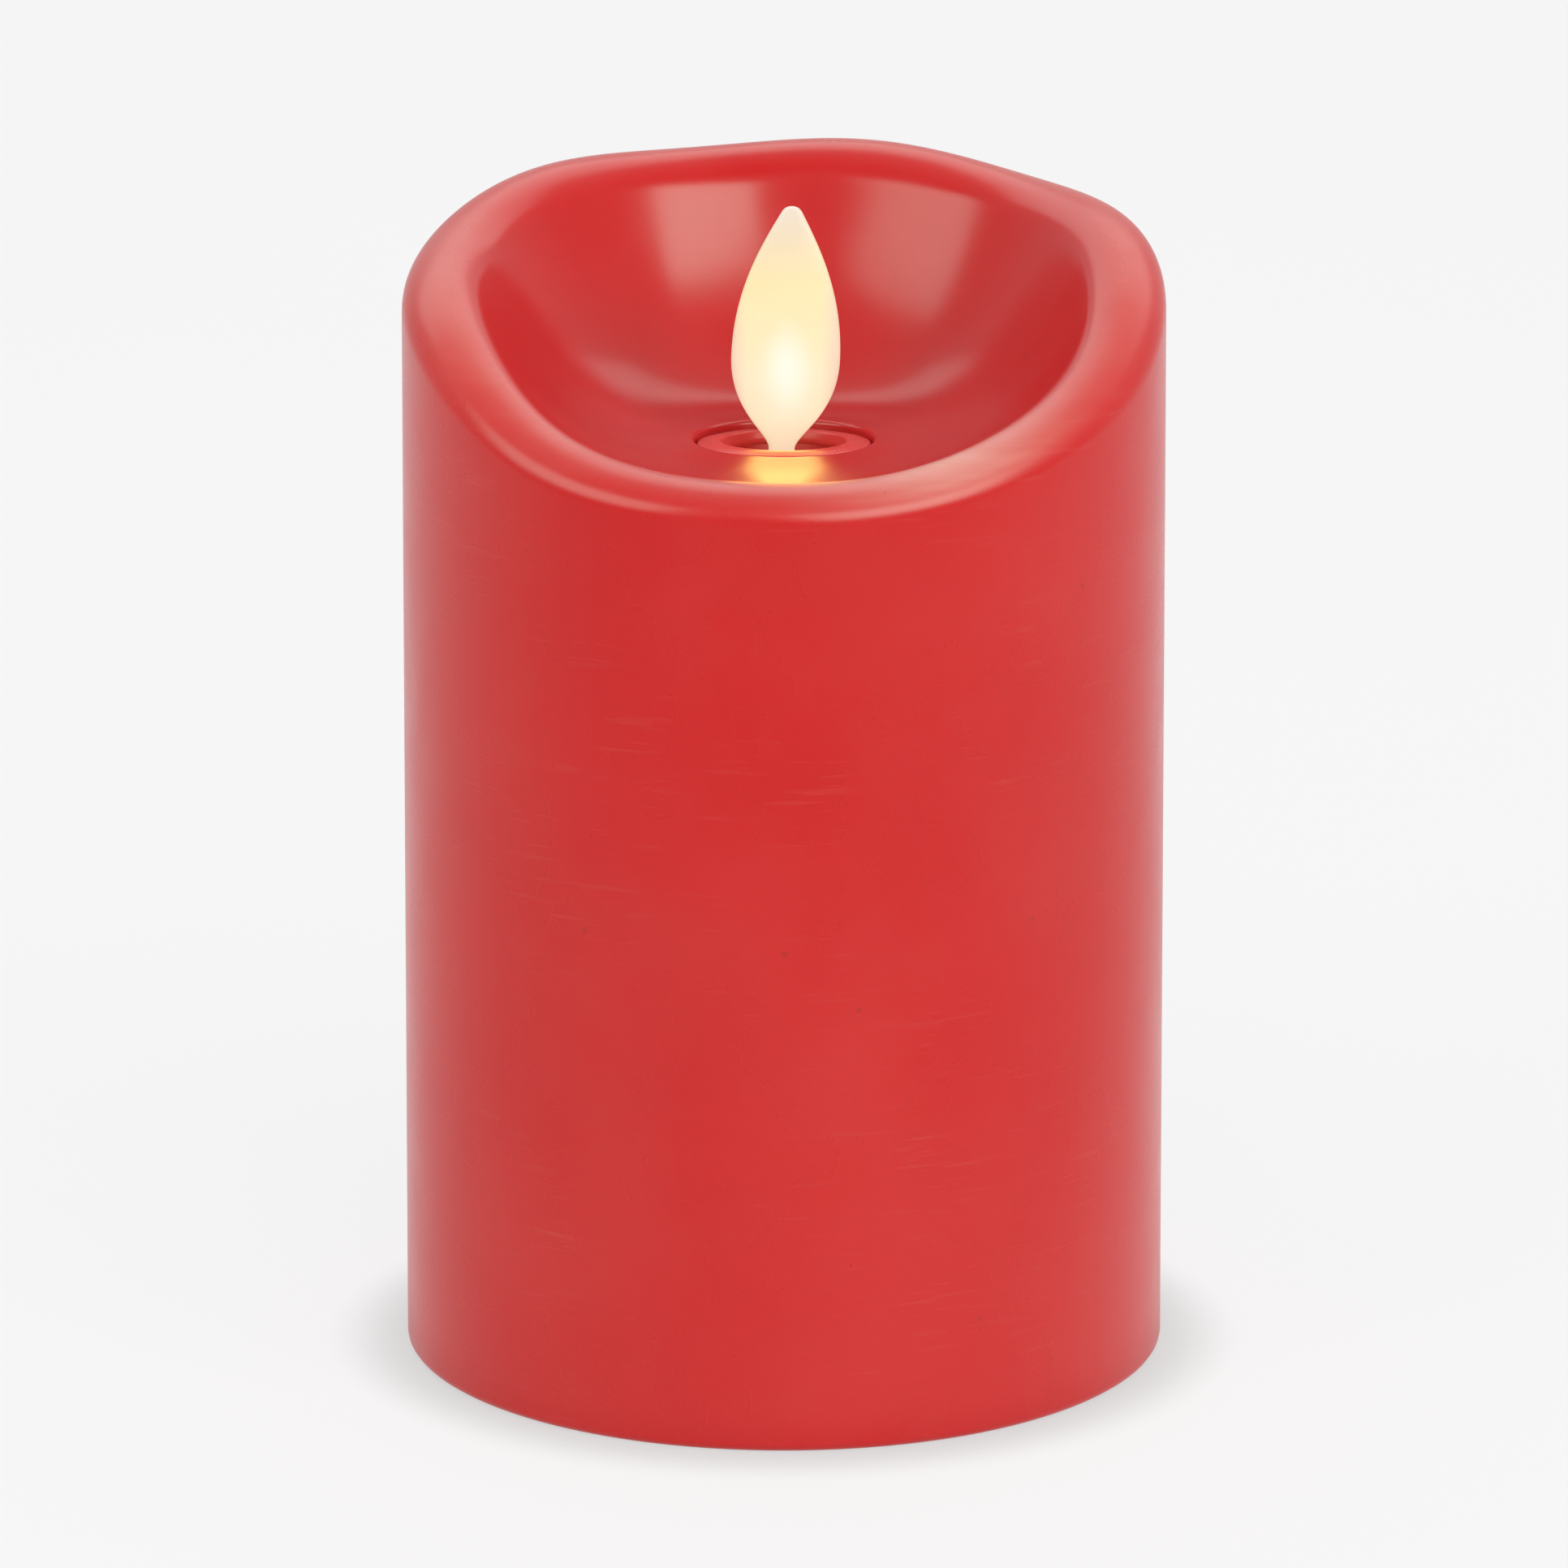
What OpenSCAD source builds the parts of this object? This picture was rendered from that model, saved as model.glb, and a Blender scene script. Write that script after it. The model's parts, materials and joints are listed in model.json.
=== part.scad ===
// Flameless pillar candle with a swinging flame.
// Millimetres, +Z up. The origin is the middle of the wax foot, on the surface that the candle stands on.
// +Y is the back, where the wavy rim is highest. The flame swings left and right about a wire along Y.

/* [Wax pillar] */
// Diameter of the foot
foot_d = 76.2; // [76:0.1:77]
// Draft of the outer wall, degrees
wall_draft = 0.33; // [0:0.01:0.5]
// Mean height of the rim
rim_mean = 107.5; // [106:0.1:110]
// How much higher the rim is at the back than at the mean
rim_tilt = 10.9; // [9:0.1:12]
// How much the rim is lifted at both sides
side_lift = 2.3; // [0:0.1:3]
// Height of the small waves of the rim, as a share of the hand-poured shape
wave_share = 1; // [0:0.1:1.2]
// Height of the bowl's floor at the collar's hole
bowl_z = 92.4; // [92:0.1:93]
// Inner diameter of the hollow wax
cavity_d = 62; // [61.6:0.1:62.4]

/* [Collar and flame] */
// Diameter of the collar's hole in the wax
collar_hole_d = 17.6; // [17.4:0.1:18]
// Diameter of the hole that the flame comes up through
flame_hole_d = 11.8; // [11.6:0.1:12]
// Width of the flame at its widest
flame_w = 10.7; // [9:0.1:11]
// Height of the flame's tip
flame_top_z = 115.5; // [110:0.1:116]
// Thickness of the flame plate
flame_t = 1.2; // [0.8:0.1:1.6]
// Lean of the flame over its upright tail, degrees
flame_lean = 2.6; // [-4:0.1:4]
// Height of the wire that the flame hangs on
pivot_z = 87.5; // [87:0.1:88]

/* [Batteries] */
// Diameter of a cell
cell_d = 14.5; // [13.5:0.1:14.5]
// Length of a cell with its button
cell_l = 50.5; // [49:0.1:50.5]

/* [Switch] */
// Travel between two positions of the slide switch
switch_step = 2; // [1.5:0.1:2]

/* [Hidden] */
$fn = 64;
eps = 0.01;
two = [-1, 1];

// wax
foot_r = foot_d / 2;
cavity_r = cavity_d / 2;
foot_edge = 0.6;
wall_top_r = foot_r - bowl_z * tan(wall_draft);
crest_r = wall_top_r - 4.5;
lip_r = crest_r - 2.1;
outer_drop = 4.3;
lip_a = 3;
lip_b = 4.6;
lip_drop = lip_b * (1 - sqrt(1 - pow((crest_r - lip_r) / lip_a, 2)));
bowl_power = 2.4;
collar_hole_r = collar_hole_d / 2;
hole_edge = 0.5;
ceiling_z = bowl_z - 7;
ceiling_r = 20;
shoulder_z = 76;
flange_seat_r = 33;
flange_top_z = 3.2;
wax_sides = 72;

// collar
collar_r = collar_hole_r - 0.2;
collar_top_z = bowl_z - 0.65;
collar_crown = 0.2;
collar_flange_t = 1.2;
collar_under_z = collar_top_z - collar_flange_t;
flame_hole_r = flame_hole_d / 2;
skirt_r = collar_r - 0.3;
skirt_bore_r = 7.1;

// flame module
module_z = 62.4;
module_floor_t = 2;
flange_r = 12.8;
tube_r = 9.6;
chamber_r = 7.8;
tube_top_z = ceiling_z - 0.3;
neck_r = skirt_bore_r - 0.1;
neck_top_z = collar_under_z;
chamber_top_z = tube_top_z - 2.4;
half_screws = [[10.6, 70.5], [10.6, 81], [-10.8, 66.8]];
half_screw_l = 8;
half_screw_r = 0.95;
module_ears = [11, 4.4];
split_gap = 0.04;
wire_r = 0.25;
wire_l = 13.8;
eye_r = wire_r + 0.1;
tail_w = 3;
magnet_r = 3;
magnet_t = 3;
magnet_z = 73.1;
magnet_shift = -0.15;
magnet_cup_r = 3.5;
stem_w = flame_w * 0.24;
stem_top_z = 91.3;
wide_z = 100.4;
tip_r = 1.15;

// LED, in its own frame: +Z along the lamp, the flange's back at 0
led_tilt = 21.6;
led_y = -11.6;
led_z = 72.5;
led_r = 2.5;
led_rim_r = 2.9;
led_dome_z = 6.1;
led_pitch = 2.54;

// coil
coil_z = module_z + module_floor_t;
coil_h = 6.8;
coil_r = 7.4;
coil_core_r = 2.6;
coil_hole_r = 1.5;
coil_flange_t = 0.9;

// batteries and chassis
base_z = 0.8;
cell_r = cell_d / 2;
cell_x = 7.8;
bay_y = -6.5;
bay_r = cell_r + 0.35;
bay_wall = 1.4;
bay_outer_r = bay_r + bay_wall;
cell_z = 6.3;
cell_top_z = cell_z + cell_l;
nub_l = 1;
nub_r = 2.75;
roof_z = module_z - 2;
roof_t = 2;
contact_t = 0.4;
spring_wire_r = 0.35;
flange_t = flange_top_z - base_z;
rim_wall_r = cavity_r - 0.3;
rim_wall_h = 8;

// battery door
door_gap = 0.3;
door_x = 16.6;
door_y0 = -16.8;
door_y1 = 3;
door_t = 1.8;
barrel_r = 1.2;
pin_r = 0.8;
pin_l = 1.7;
hinge_y = door_y0 + barrel_r;
hinge_z = base_z + barrel_r;
door_top_z = base_z + door_t;
frame_x = 20.5;
frame_y0 = -20;
frame_y1 = 7;
frame_top_z = 5.2;

// board
board_y = 9;
board_t = 1.6;
board_w = 30;
board_z0 = 16;
board_h = 40;
board_screw_at = [[-11, 49], [11, 22]];
board_front = board_y + board_t;

// switch
switch_y = 21;
knob_w = 3.6;
knob_d = 2.6;
switch_floor_z = 4.2;
switch_deck_t = 1.4;
switch_deck_z = switch_floor_z + switch_deck_t;
switch_box_x = 9;
switch_box_y = 4.6;
switch_body_l = 13;
switch_body_w = 6.4;
switch_body_h = 4.4;
knob_bottom_z = 1.4;
knob_x0 = -switch_step;
slot_l = knob_w + 2 * switch_step + 0.6;

// wires inside the candle
lead_r = 0.55;
thin_lead_r = 0.4;
lead_exit_z = roof_z - 1.2;
clip_hole_r = 0.75;
contact_leg_x = 4;
contact_leg_w = 1;
spring_plate_r = 5.6;
red_route = [[-12.3, bay_y, lead_exit_z], [-14.5, bay_y, lead_exit_z], [-17.5, bay_y, 59], [-19.5, -1, 57],
    [-19.5, 6, 51], [-16.5, 12.5, 46], [-12.3, 13.6, 44.2], [-12, board_front, 44]];
black_route = [[13.4, bay_y, lead_exit_z], [15, bay_y, lead_exit_z], [17.5, bay_y, 59], [19.5, -1, 57],
    [19.5, 6, 51], [16.5, 12.5, 44], [12.3, 13.6, 41.2], [12, board_front, 41]];
switch_routes = [for (i = [-1:1]) [[2.5 * i, switch_y + 0.6, 10.4], [2.5 * i, switch_y + 0.6, 14],
    [3 * i, 18, 18], [3 * i, 14, 19], [3 * i, board_front, 19]]];
coil_routes = [for (s = two) [[s * 2.5, 6.3, 65.8], [s * 2.5, 11, 65.8], [s * 3.5, 15, 62.5],
    [s * 4, 15.5, 57], [s * 4, 13, 52.5], [s * 4, board_front, 52]]];
led_routes = [for (s = two) [[s * led_pitch / 2, led_y, led_z], [s * led_pitch / 2, led_y - 1.2, led_z - 3],
    [5 + s * 0.6, -16, 66.5], [14 + s * 0.6, -14, 64], [22 + s * 0.6, -5, 60], [23.5 + s * 0.6, 6, 53],
    [19 + s * 0.6, 14.5, 44], [13.6 + s, 14, 37.3], [13.5 + s, board_front, 37]]];

// ---- shapes used by several pieces ----

// height of the rim's crest at angle a
function rim_z(a) = rim_mean + rim_tilt * sin(a) + side_lift * cos(2 * a)
    + wave_share * small_waves(a);

// three to six small waves round the rim, from the wax as it was poured
function small_waves(a) = 0.15 * sin(3 * a) + 0.4 * cos(4 * a) + 0.15 * sin(4 * a)
    + 0.2 * cos(5 * a) - 0.1 * sin(5 * a) + 0.3 * sin(6 * a);

// radius of the outer wall at height z
function wall_r(z) = foot_r - z * tan(wall_draft);

// outline of the wax at angle a, from the foot's inner edge round the outside, over the rim and into the bowl
function wax_profile(a) =
    let (top = rim_z(a), wall_z = top - outer_drop, top_r = wall_r(wall_z), lip_z = top - lip_drop)
    concat(
        [[flange_seat_r, 0], [foot_r - foot_edge, 0], [foot_r - foot_edge * 0.3, foot_edge * 0.3],
         [foot_r, foot_edge]],
        [for (i = [1:5]) let (z = foot_edge + (wall_z - foot_edge) * i / 5) [wall_r(z), z]],
        [for (i = [1:6]) let (b = 15 * i)
            [top_r - (top_r - crest_r) * (1 - cos(b)), wall_z + outer_drop * sin(b)]],
        [for (i = [1:3]) let (u = (crest_r - lip_r) * i / 3)
            [crest_r - u, top - lip_b * (1 - sqrt(1 - pow(u / lip_a, 2)))]],
        [for (i = [1:9]) let (s = 1 - i / 9)
            [collar_hole_r + hole_edge + (lip_r - collar_hole_r - hole_edge) * s,
             bowl_z + (lip_z - bowl_z) * pow(s, bowl_power)]],
        [[collar_hole_r, bowl_z - hole_edge], [collar_hole_r, ceiling_z], [ceiling_r, ceiling_z],
         [cavity_r, shoulder_z], [cavity_r, flange_top_z], [flange_seat_r, flange_top_z]]);

// closed ring of the profile carried round the axis
module wax_ring() {
    rows = len(wax_profile(0));
    points = [for (k = [0:wax_sides - 1]) let (a = 360 * k / wax_sides)
        for (p = wax_profile(a)) [p[0] * cos(a), p[0] * sin(a), p[1]]];
    faces = [for (k = [0:wax_sides - 1], j = [0:rows - 1])
        let (n = (k + 1) % wax_sides, m = (j + 1) % rows, a = k * rows + j, b = n * rows + j,
             c = n * rows + m, d = k * rows + m)
        each [[a, b, c], [a, c, d]]];
    polyhedron(points, [for (f = faces) [f[2], f[1], f[0]]]);
}

// point of a cubic curve through four control points
function curve_at(p, t) = pow(1 - t, 3) * p[0] + 3 * t * pow(1 - t, 2) * p[1]
    + 3 * t * t * (1 - t) * p[2] + pow(t, 3) * p[3];

// point of a smooth route through its own points
function route_at(p, s) =
    let (n = len(p) - 1, i = min(floor(s * n), n - 1), u = s * n - i, a = p[max(i - 1, 0)], b = p[i],
         c = p[i + 1], d = p[min(i + 2, n)])
    0.5 * (2 * b + (c - a) * u + (2 * a - 5 * b + 4 * c - d) * u * u + (3 * b - a - 3 * c + d) * u * u * u);

function unit(v) = v / norm(v);

// faces of a tube made of rings of points that run round it counter-clockwise
function tube_faces(rings, sides) = concat(
    [[for (k = [0:sides - 1]) k]],
    [for (i = [0:rings - 1], k = [0:sides - 1])
        let (m = (k + 1) % sides, a = i * sides + k, b = i * sides + m, c = b + sides, d = a + sides)
        each [[a, c, b], [a, d, c]]],
    [[for (k = [sides - 1:-1:0]) rings * sides + k]]);

// round wire of radius r swept along a route; side is a direction that the route never follows
module wire(route, r, side, rings = 36, sides = 8) {
    centres = [for (i = [0:rings]) route_at(route, i / rings)];
    frames = [for (i = [0:rings]) let (d = unit(centres[min(i + 1, rings)] - centres[max(i - 1, 0)]),
        x = unit(cross(side, d)), y = cross(d, x)) [x, y]];
    points = [for (i = [0:rings], k = [0:sides - 1])
        centres[i] + r * (cos(360 * k / sides) * frames[i][0] + sin(360 * k / sides) * frames[i][1])];
    polyhedron(points, tube_faces(rings, sides));
}

// coil spring from height 0 to h, its radius going from r0 to r1
module coil_spring(r0, r1, h) {
    turns = 4;
    per_turn = 14;
    rings = turns * per_turn;
    sides = 6;
    points = [for (i = [0:rings], k = [0:sides - 1])
        let (t = i / rings, a = 360 * i / per_turn, b = 360 * k / sides,
             q = r0 + (r1 - r0) * t + spring_wire_r * cos(b))
        [q * cos(a), q * sin(a), spring_wire_r + (h - 2 * spring_wire_r) * t - spring_wire_r * sin(b)]];
    polyhedron(points, tube_faces(rings, sides));
}

// upright block with two round ends, half is the distance of the ends' axes from the middle
module stadium(r, half, h) {
    for (s = two)
        translate([s * half, 0, 0]) cylinder(r = r, h = h);
    translate([-half, -r, 0]) cube([2 * half, 2 * r, h]);
}

module box(x0, x1, y0, y1, z0, z1) {
    translate([x0, y0, z0]) cube([x1 - x0, y1 - y0, z1 - z0]);
}

module along_x() {
    rotate([0, 90, 0]) children();
}

module along_y() {
    rotate([-90, 0, 0]) children();
}

// pan-head screw, head's underside at 0, thread pointing down
module screw(r, l, head_r, head_h) {
    difference() {
        union() {
            translate([0, 0, -l]) cylinder(r = r, h = l);
            cylinder(r = head_r, h = head_h);
        }
        for (a = [0, 90])
            rotate([0, 0, a])
                translate([-head_r * 0.6, -0.2, head_h - 0.4]) cube([head_r * 1.2, 0.4, 1]);
    }
}

module led_frame() {
    translate([0, led_y, led_z]) rotate([-led_tilt, 0, 0]) children();
}

// ---- wax and collar ----

module wax_shell() {
    color("firebrick") wax_ring();
}

module wick_collar() {
    color("crimson")
        rotate_extrude()
            polygon([[flame_hole_r, collar_under_z], [skirt_bore_r, collar_under_z],
                     [skirt_bore_r, ceiling_z], [skirt_r, ceiling_z],
                     [skirt_r, collar_under_z], [collar_r, collar_under_z],
                     [collar_r, collar_top_z - 0.3],
                     [collar_r - 0.3, collar_top_z], [flame_hole_r + 0.9, collar_top_z + collar_crown],
                     [flame_hole_r + 0.3, collar_top_z + collar_crown - 0.1],
                     [flame_hole_r, collar_top_z + collar_crown - 0.5]]);
}

// ---- flame ----

// right half of the flame's outline, from the stem to the tip
function flame_half() =
    let (w = flame_w / 2, s = stem_w / 2, tip_z = flame_top_z - tip_r,
         shoulder = [tip_r * cos(26), tip_z + tip_r * sin(26)], rise = shoulder[1] - wide_z,
         low = [[s, stem_top_z], [s, stem_top_z + 1.5], [w, wide_z - 5.6], [w, wide_z]],
         high = [[w, wide_z], [w, wide_z + rise * 0.42], [w * 0.62, wide_z + rise * 0.72], shoulder])
    concat([for (i = [0:9]) curve_at(low, i / 10)], [for (i = [0:12]) curve_at(high, i / 12)],
        [for (b = [42, 58, 74]) [tip_r * cos(b), tip_z + tip_r * sin(b)]],
        [[0, flame_top_z]]);

module flame_outline() {
    half = flame_half();
    n = len(half);
    polygon(concat(half, [for (i = [n - 2:-1:0]) [-half[i][0], half[i][1]]]));
}

module flame_plate() {
    color("cornsilk")
        difference() {
            union() {
                translate([0, flame_t / 2, stem_top_z - 0.3])
                    rotate([90, flame_lean, 0])
                        translate([0, 0.3 - stem_top_z, 0])
                            linear_extrude(flame_t) flame_outline();
                box(-stem_w / 2, stem_w / 2, -flame_t / 2, flame_t / 2, pivot_z, stem_top_z + 0.2);
                box(-tail_w / 2, tail_w / 2, -flame_t / 2, flame_t / 2, magnet_z + 3.4, pivot_z);
                translate([0, -flame_t / 2, pivot_z]) along_y() cylinder(r = 2, h = flame_t);
                translate([magnet_shift, 0, magnet_z]) cylinder(r = magnet_cup_r, h = magnet_t + 0.8);
            }
            translate([0, -5, pivot_z]) along_y() cylinder(r = eye_r, h = 10);
            translate([magnet_shift, 0, magnet_z - 1]) cylinder(r = magnet_r, h = magnet_t + 1);
        }
}

module flame_magnet() {
    color("silver")
        translate([magnet_shift, 0, magnet_z]) cylinder(r = magnet_r, h = magnet_t);
}

module flame_wire() {
    color("gainsboro")
        translate([0, -wire_l / 2, pivot_z]) along_y() cylinder(r = wire_r, h = wire_l);
}

// ---- flame module ----

module half_screw_boss(y, z) {
    translate([-5, y, z]) along_x() cylinder(r = 2.4, h = 10);
}

module housing() {
    difference() {
        union() {
            translate([0, 0, module_z]) cylinder(r = flange_r, h = module_floor_t);
            translate([0, 0, module_z]) cylinder(r = tube_r, h = tube_top_z - module_z);
            translate([0, 0, module_z]) cylinder(r = neck_r, h = neck_top_z - module_z);
            for (p = half_screws)
                half_screw_boss(p[0], p[1]);
            for (s = two)
                translate([s * module_ears[0], module_ears[1], module_z])
                    cylinder(r = 2.4, h = module_floor_t);
            led_frame() cylinder(r = 4.1, h = 8);
        }
        translate([0, 0, coil_z]) cylinder(r = chamber_r, h = chamber_top_z - coil_z);
        translate([0, 0, chamber_top_z - eps])
            cylinder(r1 = chamber_r, r2 = flame_hole_r, h = chamber_r - flame_hole_r);
        translate([0, 0, module_z + 10]) cylinder(r = flame_hole_r, h = 30);
        led_frame() translate([0, 0, -2]) cylinder(r = led_rim_r + 0.1, h = 3.1);
        led_frame() cylinder(r = led_r + 0.05, h = 19);
        translate([0, -wire_l / 2, pivot_z]) along_y() cylinder(r = wire_r, h = wire_l);
        for (p = half_screws)
            translate([-6, p[0], p[1]]) along_x() cylinder(r = half_screw_r + 0.05, h = 12);
        for (s = two)
            translate([s * module_ears[0], module_ears[1], module_z - 1]) cylinder(r = 1.2, h = 8);
        for (s = two)
            box(s * 2.5 - 0.6, s * 2.5 + 0.6, 6, 11, coil_z, 66.6);
    }
}

module housing_half(side) {
    intersection() {
        housing();
        translate([side * (20 + split_gap / 2), 0, (module_z + neck_top_z) / 2])
            cube([40, 60, 60], center = true);
    }
}

module housing_left() {
    color("darkred") housing_half(-1);
}

module housing_right() {
    color("darkred") housing_half(1);
}

module housing_screws() {
    color("silver")
        for (p = half_screws)
            translate([5, p[0], p[1]]) along_x() screw(half_screw_r, half_screw_l, 1.9, 1.3);
}

module module_screws() {
    color("silver")
        for (s = two)
            translate([s * module_ears[0], module_ears[1], module_z + module_floor_t])
                screw(0.95, 6, 1.9, 1.3);
}

module spot_led() {
    color("lemonchiffon")
        led_frame() {
            cylinder(r = led_rim_r, h = 1);
            cylinder(r = led_r, h = led_dome_z);
            translate([0, 0, led_dome_z]) sphere(r = led_r);
        }
}

module led_clip() {
    color("dimgray")
        led_frame()
            difference() {
                translate([0, 0, -2]) cylinder(r = led_rim_r, h = 2);
                for (s = two)
                    translate([s * led_pitch / 2, 0, -3]) cylinder(r = clip_hole_r, h = 4);
            }
}

module led_leads() {
    color("goldenrod")
        for (route = led_routes)
            wire(route, thin_lead_r, [0.3, 0.2, 1]);
}

// ---- electromagnet ----

module coil_bobbin() {
    color("white")
        translate([0, 0, coil_z])
            rotate_extrude()
                polygon([[coil_hole_r, 0], [coil_r, 0], [coil_r, coil_flange_t], [coil_core_r, coil_flange_t],
                         [coil_core_r, coil_h - coil_flange_t], [coil_r, coil_h - coil_flange_t],
                         [coil_r, coil_h], [coil_hole_r, coil_h]]);
}

module coil_winding() {
    color("peru")
        translate([0, 0, coil_z + coil_flange_t])
            difference() {
                cylinder(r = coil_r - 0.7, h = coil_h - 2 * coil_flange_t);
                translate([0, 0, -1]) cylinder(r = coil_core_r, h = coil_h);
            }
}

module coil_leads() {
    color("peru")
        for (route = coil_routes)
            wire(route, 0.3, [1, 0, 0]);
}

// ---- chassis ----

module bay_shape(r, z0, z1) {
    translate([0, bay_y, z0]) stadium(r, cell_x, z1 - z0);
}

module board_boss(x, z) {
    translate([x, 0, z]) along_y() cylinder(r = 2.4, h = board_y);
}

module base_chassis() {
    color("darkred")
        difference() {
            union() {
                translate([0, 0, base_z]) cylinder(r = flange_seat_r - 0.2, h = flange_t - 0.05);
                difference() {
                    translate([0, 0, base_z]) cylinder(r = rim_wall_r, h = rim_wall_h);
                    translate([0, 0, base_z - 1]) cylinder(r = rim_wall_r - 1.4, h = rim_wall_h + 2);
                }
                box(-frame_x, frame_x, frame_y0, frame_y1, base_z, frame_top_z);
                bay_shape(bay_outer_r, base_z, module_z);
                translate([0, 0, roof_z]) cylinder(r = flange_r + 0.7, h = roof_t);
                for (s = two)
                    translate([s * module_ears[0], module_ears[1], roof_z - 6]) cylinder(r = 2.4, h = 7);
                for (p = board_screw_at)
                    board_boss(p[0], p[1]);
                box(-switch_box_x, switch_box_x, switch_y - switch_box_y, switch_y + switch_box_y,
                    base_z, switch_deck_z);
                for (s = two)
                    translate([s * 11.5, switch_y, base_z]) cylinder(r = 2.4, h = switch_deck_z - base_z);
            }
            bay_shape(bay_r, base_z - 1, roof_z);
            box(-door_x - door_gap, door_x + door_gap, door_y0 - door_gap, door_y1 + door_gap,
                base_z - 1, door_top_z + door_gap);
            box(-door_x - door_gap, door_x + door_gap, door_y0 - door_gap, bay_y - bay_r + 1,
                base_z - 1, hinge_z + barrel_r + 0.4);
            translate([-door_x - pin_l - 0.2, hinge_y, hinge_z]) along_x()
                cylinder(r = pin_r + 0.1, h = 2 * (door_x + pin_l + 0.2));
            box(-5, 5, door_y1, door_y1 + 3.4, base_z - 1, door_top_z - 0.2);
            box(-switch_box_x + 1.4, switch_box_x - 1.4, switch_y - switch_box_y + 1.4,
                switch_y + switch_box_y - 1.4, base_z - 1, switch_floor_z);
            box(-slot_l / 2, slot_l / 2, switch_y - knob_d / 2 - 0.3, switch_y + knob_d / 2 + 0.3,
                base_z, switch_deck_z + 1);
            for (s = two)
                translate([s * 11.5, switch_y, base_z + 1]) cylinder(r = 0.9, h = 10);
            for (s = two)
                translate([s * module_ears[0], module_ears[1], roof_z - 5]) cylinder(r = 1, h = 10);
            for (p = board_screw_at)
                translate([p[0], board_y - 6, p[1]]) along_y() cylinder(r = 0.9, h = 8);
            translate([-bay_outer_r - cell_x - 1, bay_y, lead_exit_z]) along_x()
                cylinder(r = 1, h = 2 * (bay_outer_r + cell_x + 1));
        }
}

module glue_beads() {
    color("wheat")
        for (a = [30, 150, 270])
            rotate([0, 0, a])
                intersection() {
                    difference() {
                        translate([0, 0, base_z + rim_wall_h - 4]) cylinder(r = cavity_r - 0.04, h = 3);
                        translate([0, 0, base_z]) cylinder(r = rim_wall_r, h = 20);
                    }
                    box(0, 40, -5, 5, 0, 20);
                }
}

// ---- board ----

module control_board() {
    color("seagreen")
        difference() {
            box(-board_w / 2, board_w / 2, board_y, board_y + board_t, board_z0, board_z0 + board_h);
            for (p = board_screw_at)
                translate([p[0], board_y - 1, p[1]]) along_y() cylinder(r = 1.1, h = 4);
        }
}

module board_screws() {
    color("silver")
        for (p = board_screw_at)
            translate([p[0], board_front, p[1]]) along_y() screw(0.85, 6, 1.9, 1.3);
}

module timer_chip() {
    color("#202022") {
        box(-5, 4, board_front + 0.2, board_front + 1.7, 30, 34);
        for (i = [0:6], s = two)
            box(-4.6 + i * 1.27 - 0.2, -4.6 + i * 1.27 + 0.2, board_front, board_front + 0.6,
                32 + s * 2.5 - 0.5, 32 + s * 2.5 + 0.5);
    }
}

module board_capacitor() {
    color("midnightblue")
        translate([3, board_front, 25]) along_y() cylinder(r = 2.5, h = 7);
}

module board_resistors() {
    color("black")
        for (i = [0:3])
            box(-11 + i * 3, -9.4 + i * 3, board_front, board_front + 0.55, 38, 41);
}

module ir_receiver() {
    color("#2b2320") {
        box(5, 11, board_front + 3.8, board_front + 7.8, 58, 64.5);
        translate([8, board_front + 7.8, 61.5]) sphere(r = 1.6);
        for (i = [-1:1]) {
            box(8 + 2 * i - 0.25, 8 + 2 * i + 0.25, board_front + 5, board_front + 5.5, 50, 58);
            box(8 + 2 * i - 0.25, 8 + 2 * i + 0.25, board_front, board_front + 5.5, 49.5, 50.1);
        }
    }
}

// ---- switch ----

module switch_body() {
    color("dimgray")
        difference() {
            union() {
                box(-switch_body_l / 2, switch_body_l / 2, switch_y - switch_body_w / 2,
                    switch_y + switch_body_w / 2, switch_deck_z, switch_deck_z + switch_body_h);
                box(-13.6, 13.6, switch_y - 2, switch_y + 2, switch_deck_z, switch_deck_z + 0.6);
            }
            box(-slot_l / 2, slot_l / 2, switch_y - 1.9, switch_y + 1.9,
                switch_deck_z - 1, switch_deck_z + 2.2);
            for (s = two)
                translate([s * 11.5, switch_y, switch_deck_z - 1]) cylinder(r = 1.1, h = 4);
        }
}

module switch_knob() {
    color("black")
        translate([knob_x0, switch_y, 0]) {
            difference() {
                box(-knob_w / 2, knob_w / 2, -knob_d / 2, knob_d / 2, knob_bottom_z, switch_deck_z + 1.9);
                for (i = [-1:1])
                    box(i * 1.1 - 0.25, i * 1.1 + 0.25, -knob_d, knob_d,
                        knob_bottom_z - 1, knob_bottom_z + 0.3);
            }
        }
}

module switch_pins() {
    color("silver")
        for (i = [-1:1])
            box(2.5 * i - 0.4, 2.5 * i + 0.4, switch_y - 0.2, switch_y + 0.2,
                switch_deck_z + switch_body_h, 12);
}

module switch_screws() {
    color("silver")
        for (s = two)
            translate([s * 11.5, switch_y, switch_deck_z + 0.6]) screw(0.85, 4, 1.8, 1.2);
}

module switch_leads() {
    color("ivory")
        for (route = switch_routes)
            wire(route, thin_lead_r, [1, 0, 0]);
}

// ---- batteries and contacts ----

// upright cell with its button on top; flipped, the button is below
module cell(side, flipped) {
    translate([side * cell_x, bay_y, flipped ? cell_top_z : cell_z])
        rotate([flipped ? 180 : 0, 0, 0]) {
            cylinder(r = cell_r, h = cell_l - nub_l);
            cylinder(r = nub_r, h = cell_l);
        }
}

module battery_left() {
    color("darkorange") cell(-1, false);
}

module battery_right() {
    color("darkorange") cell(1, true);
}

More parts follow.
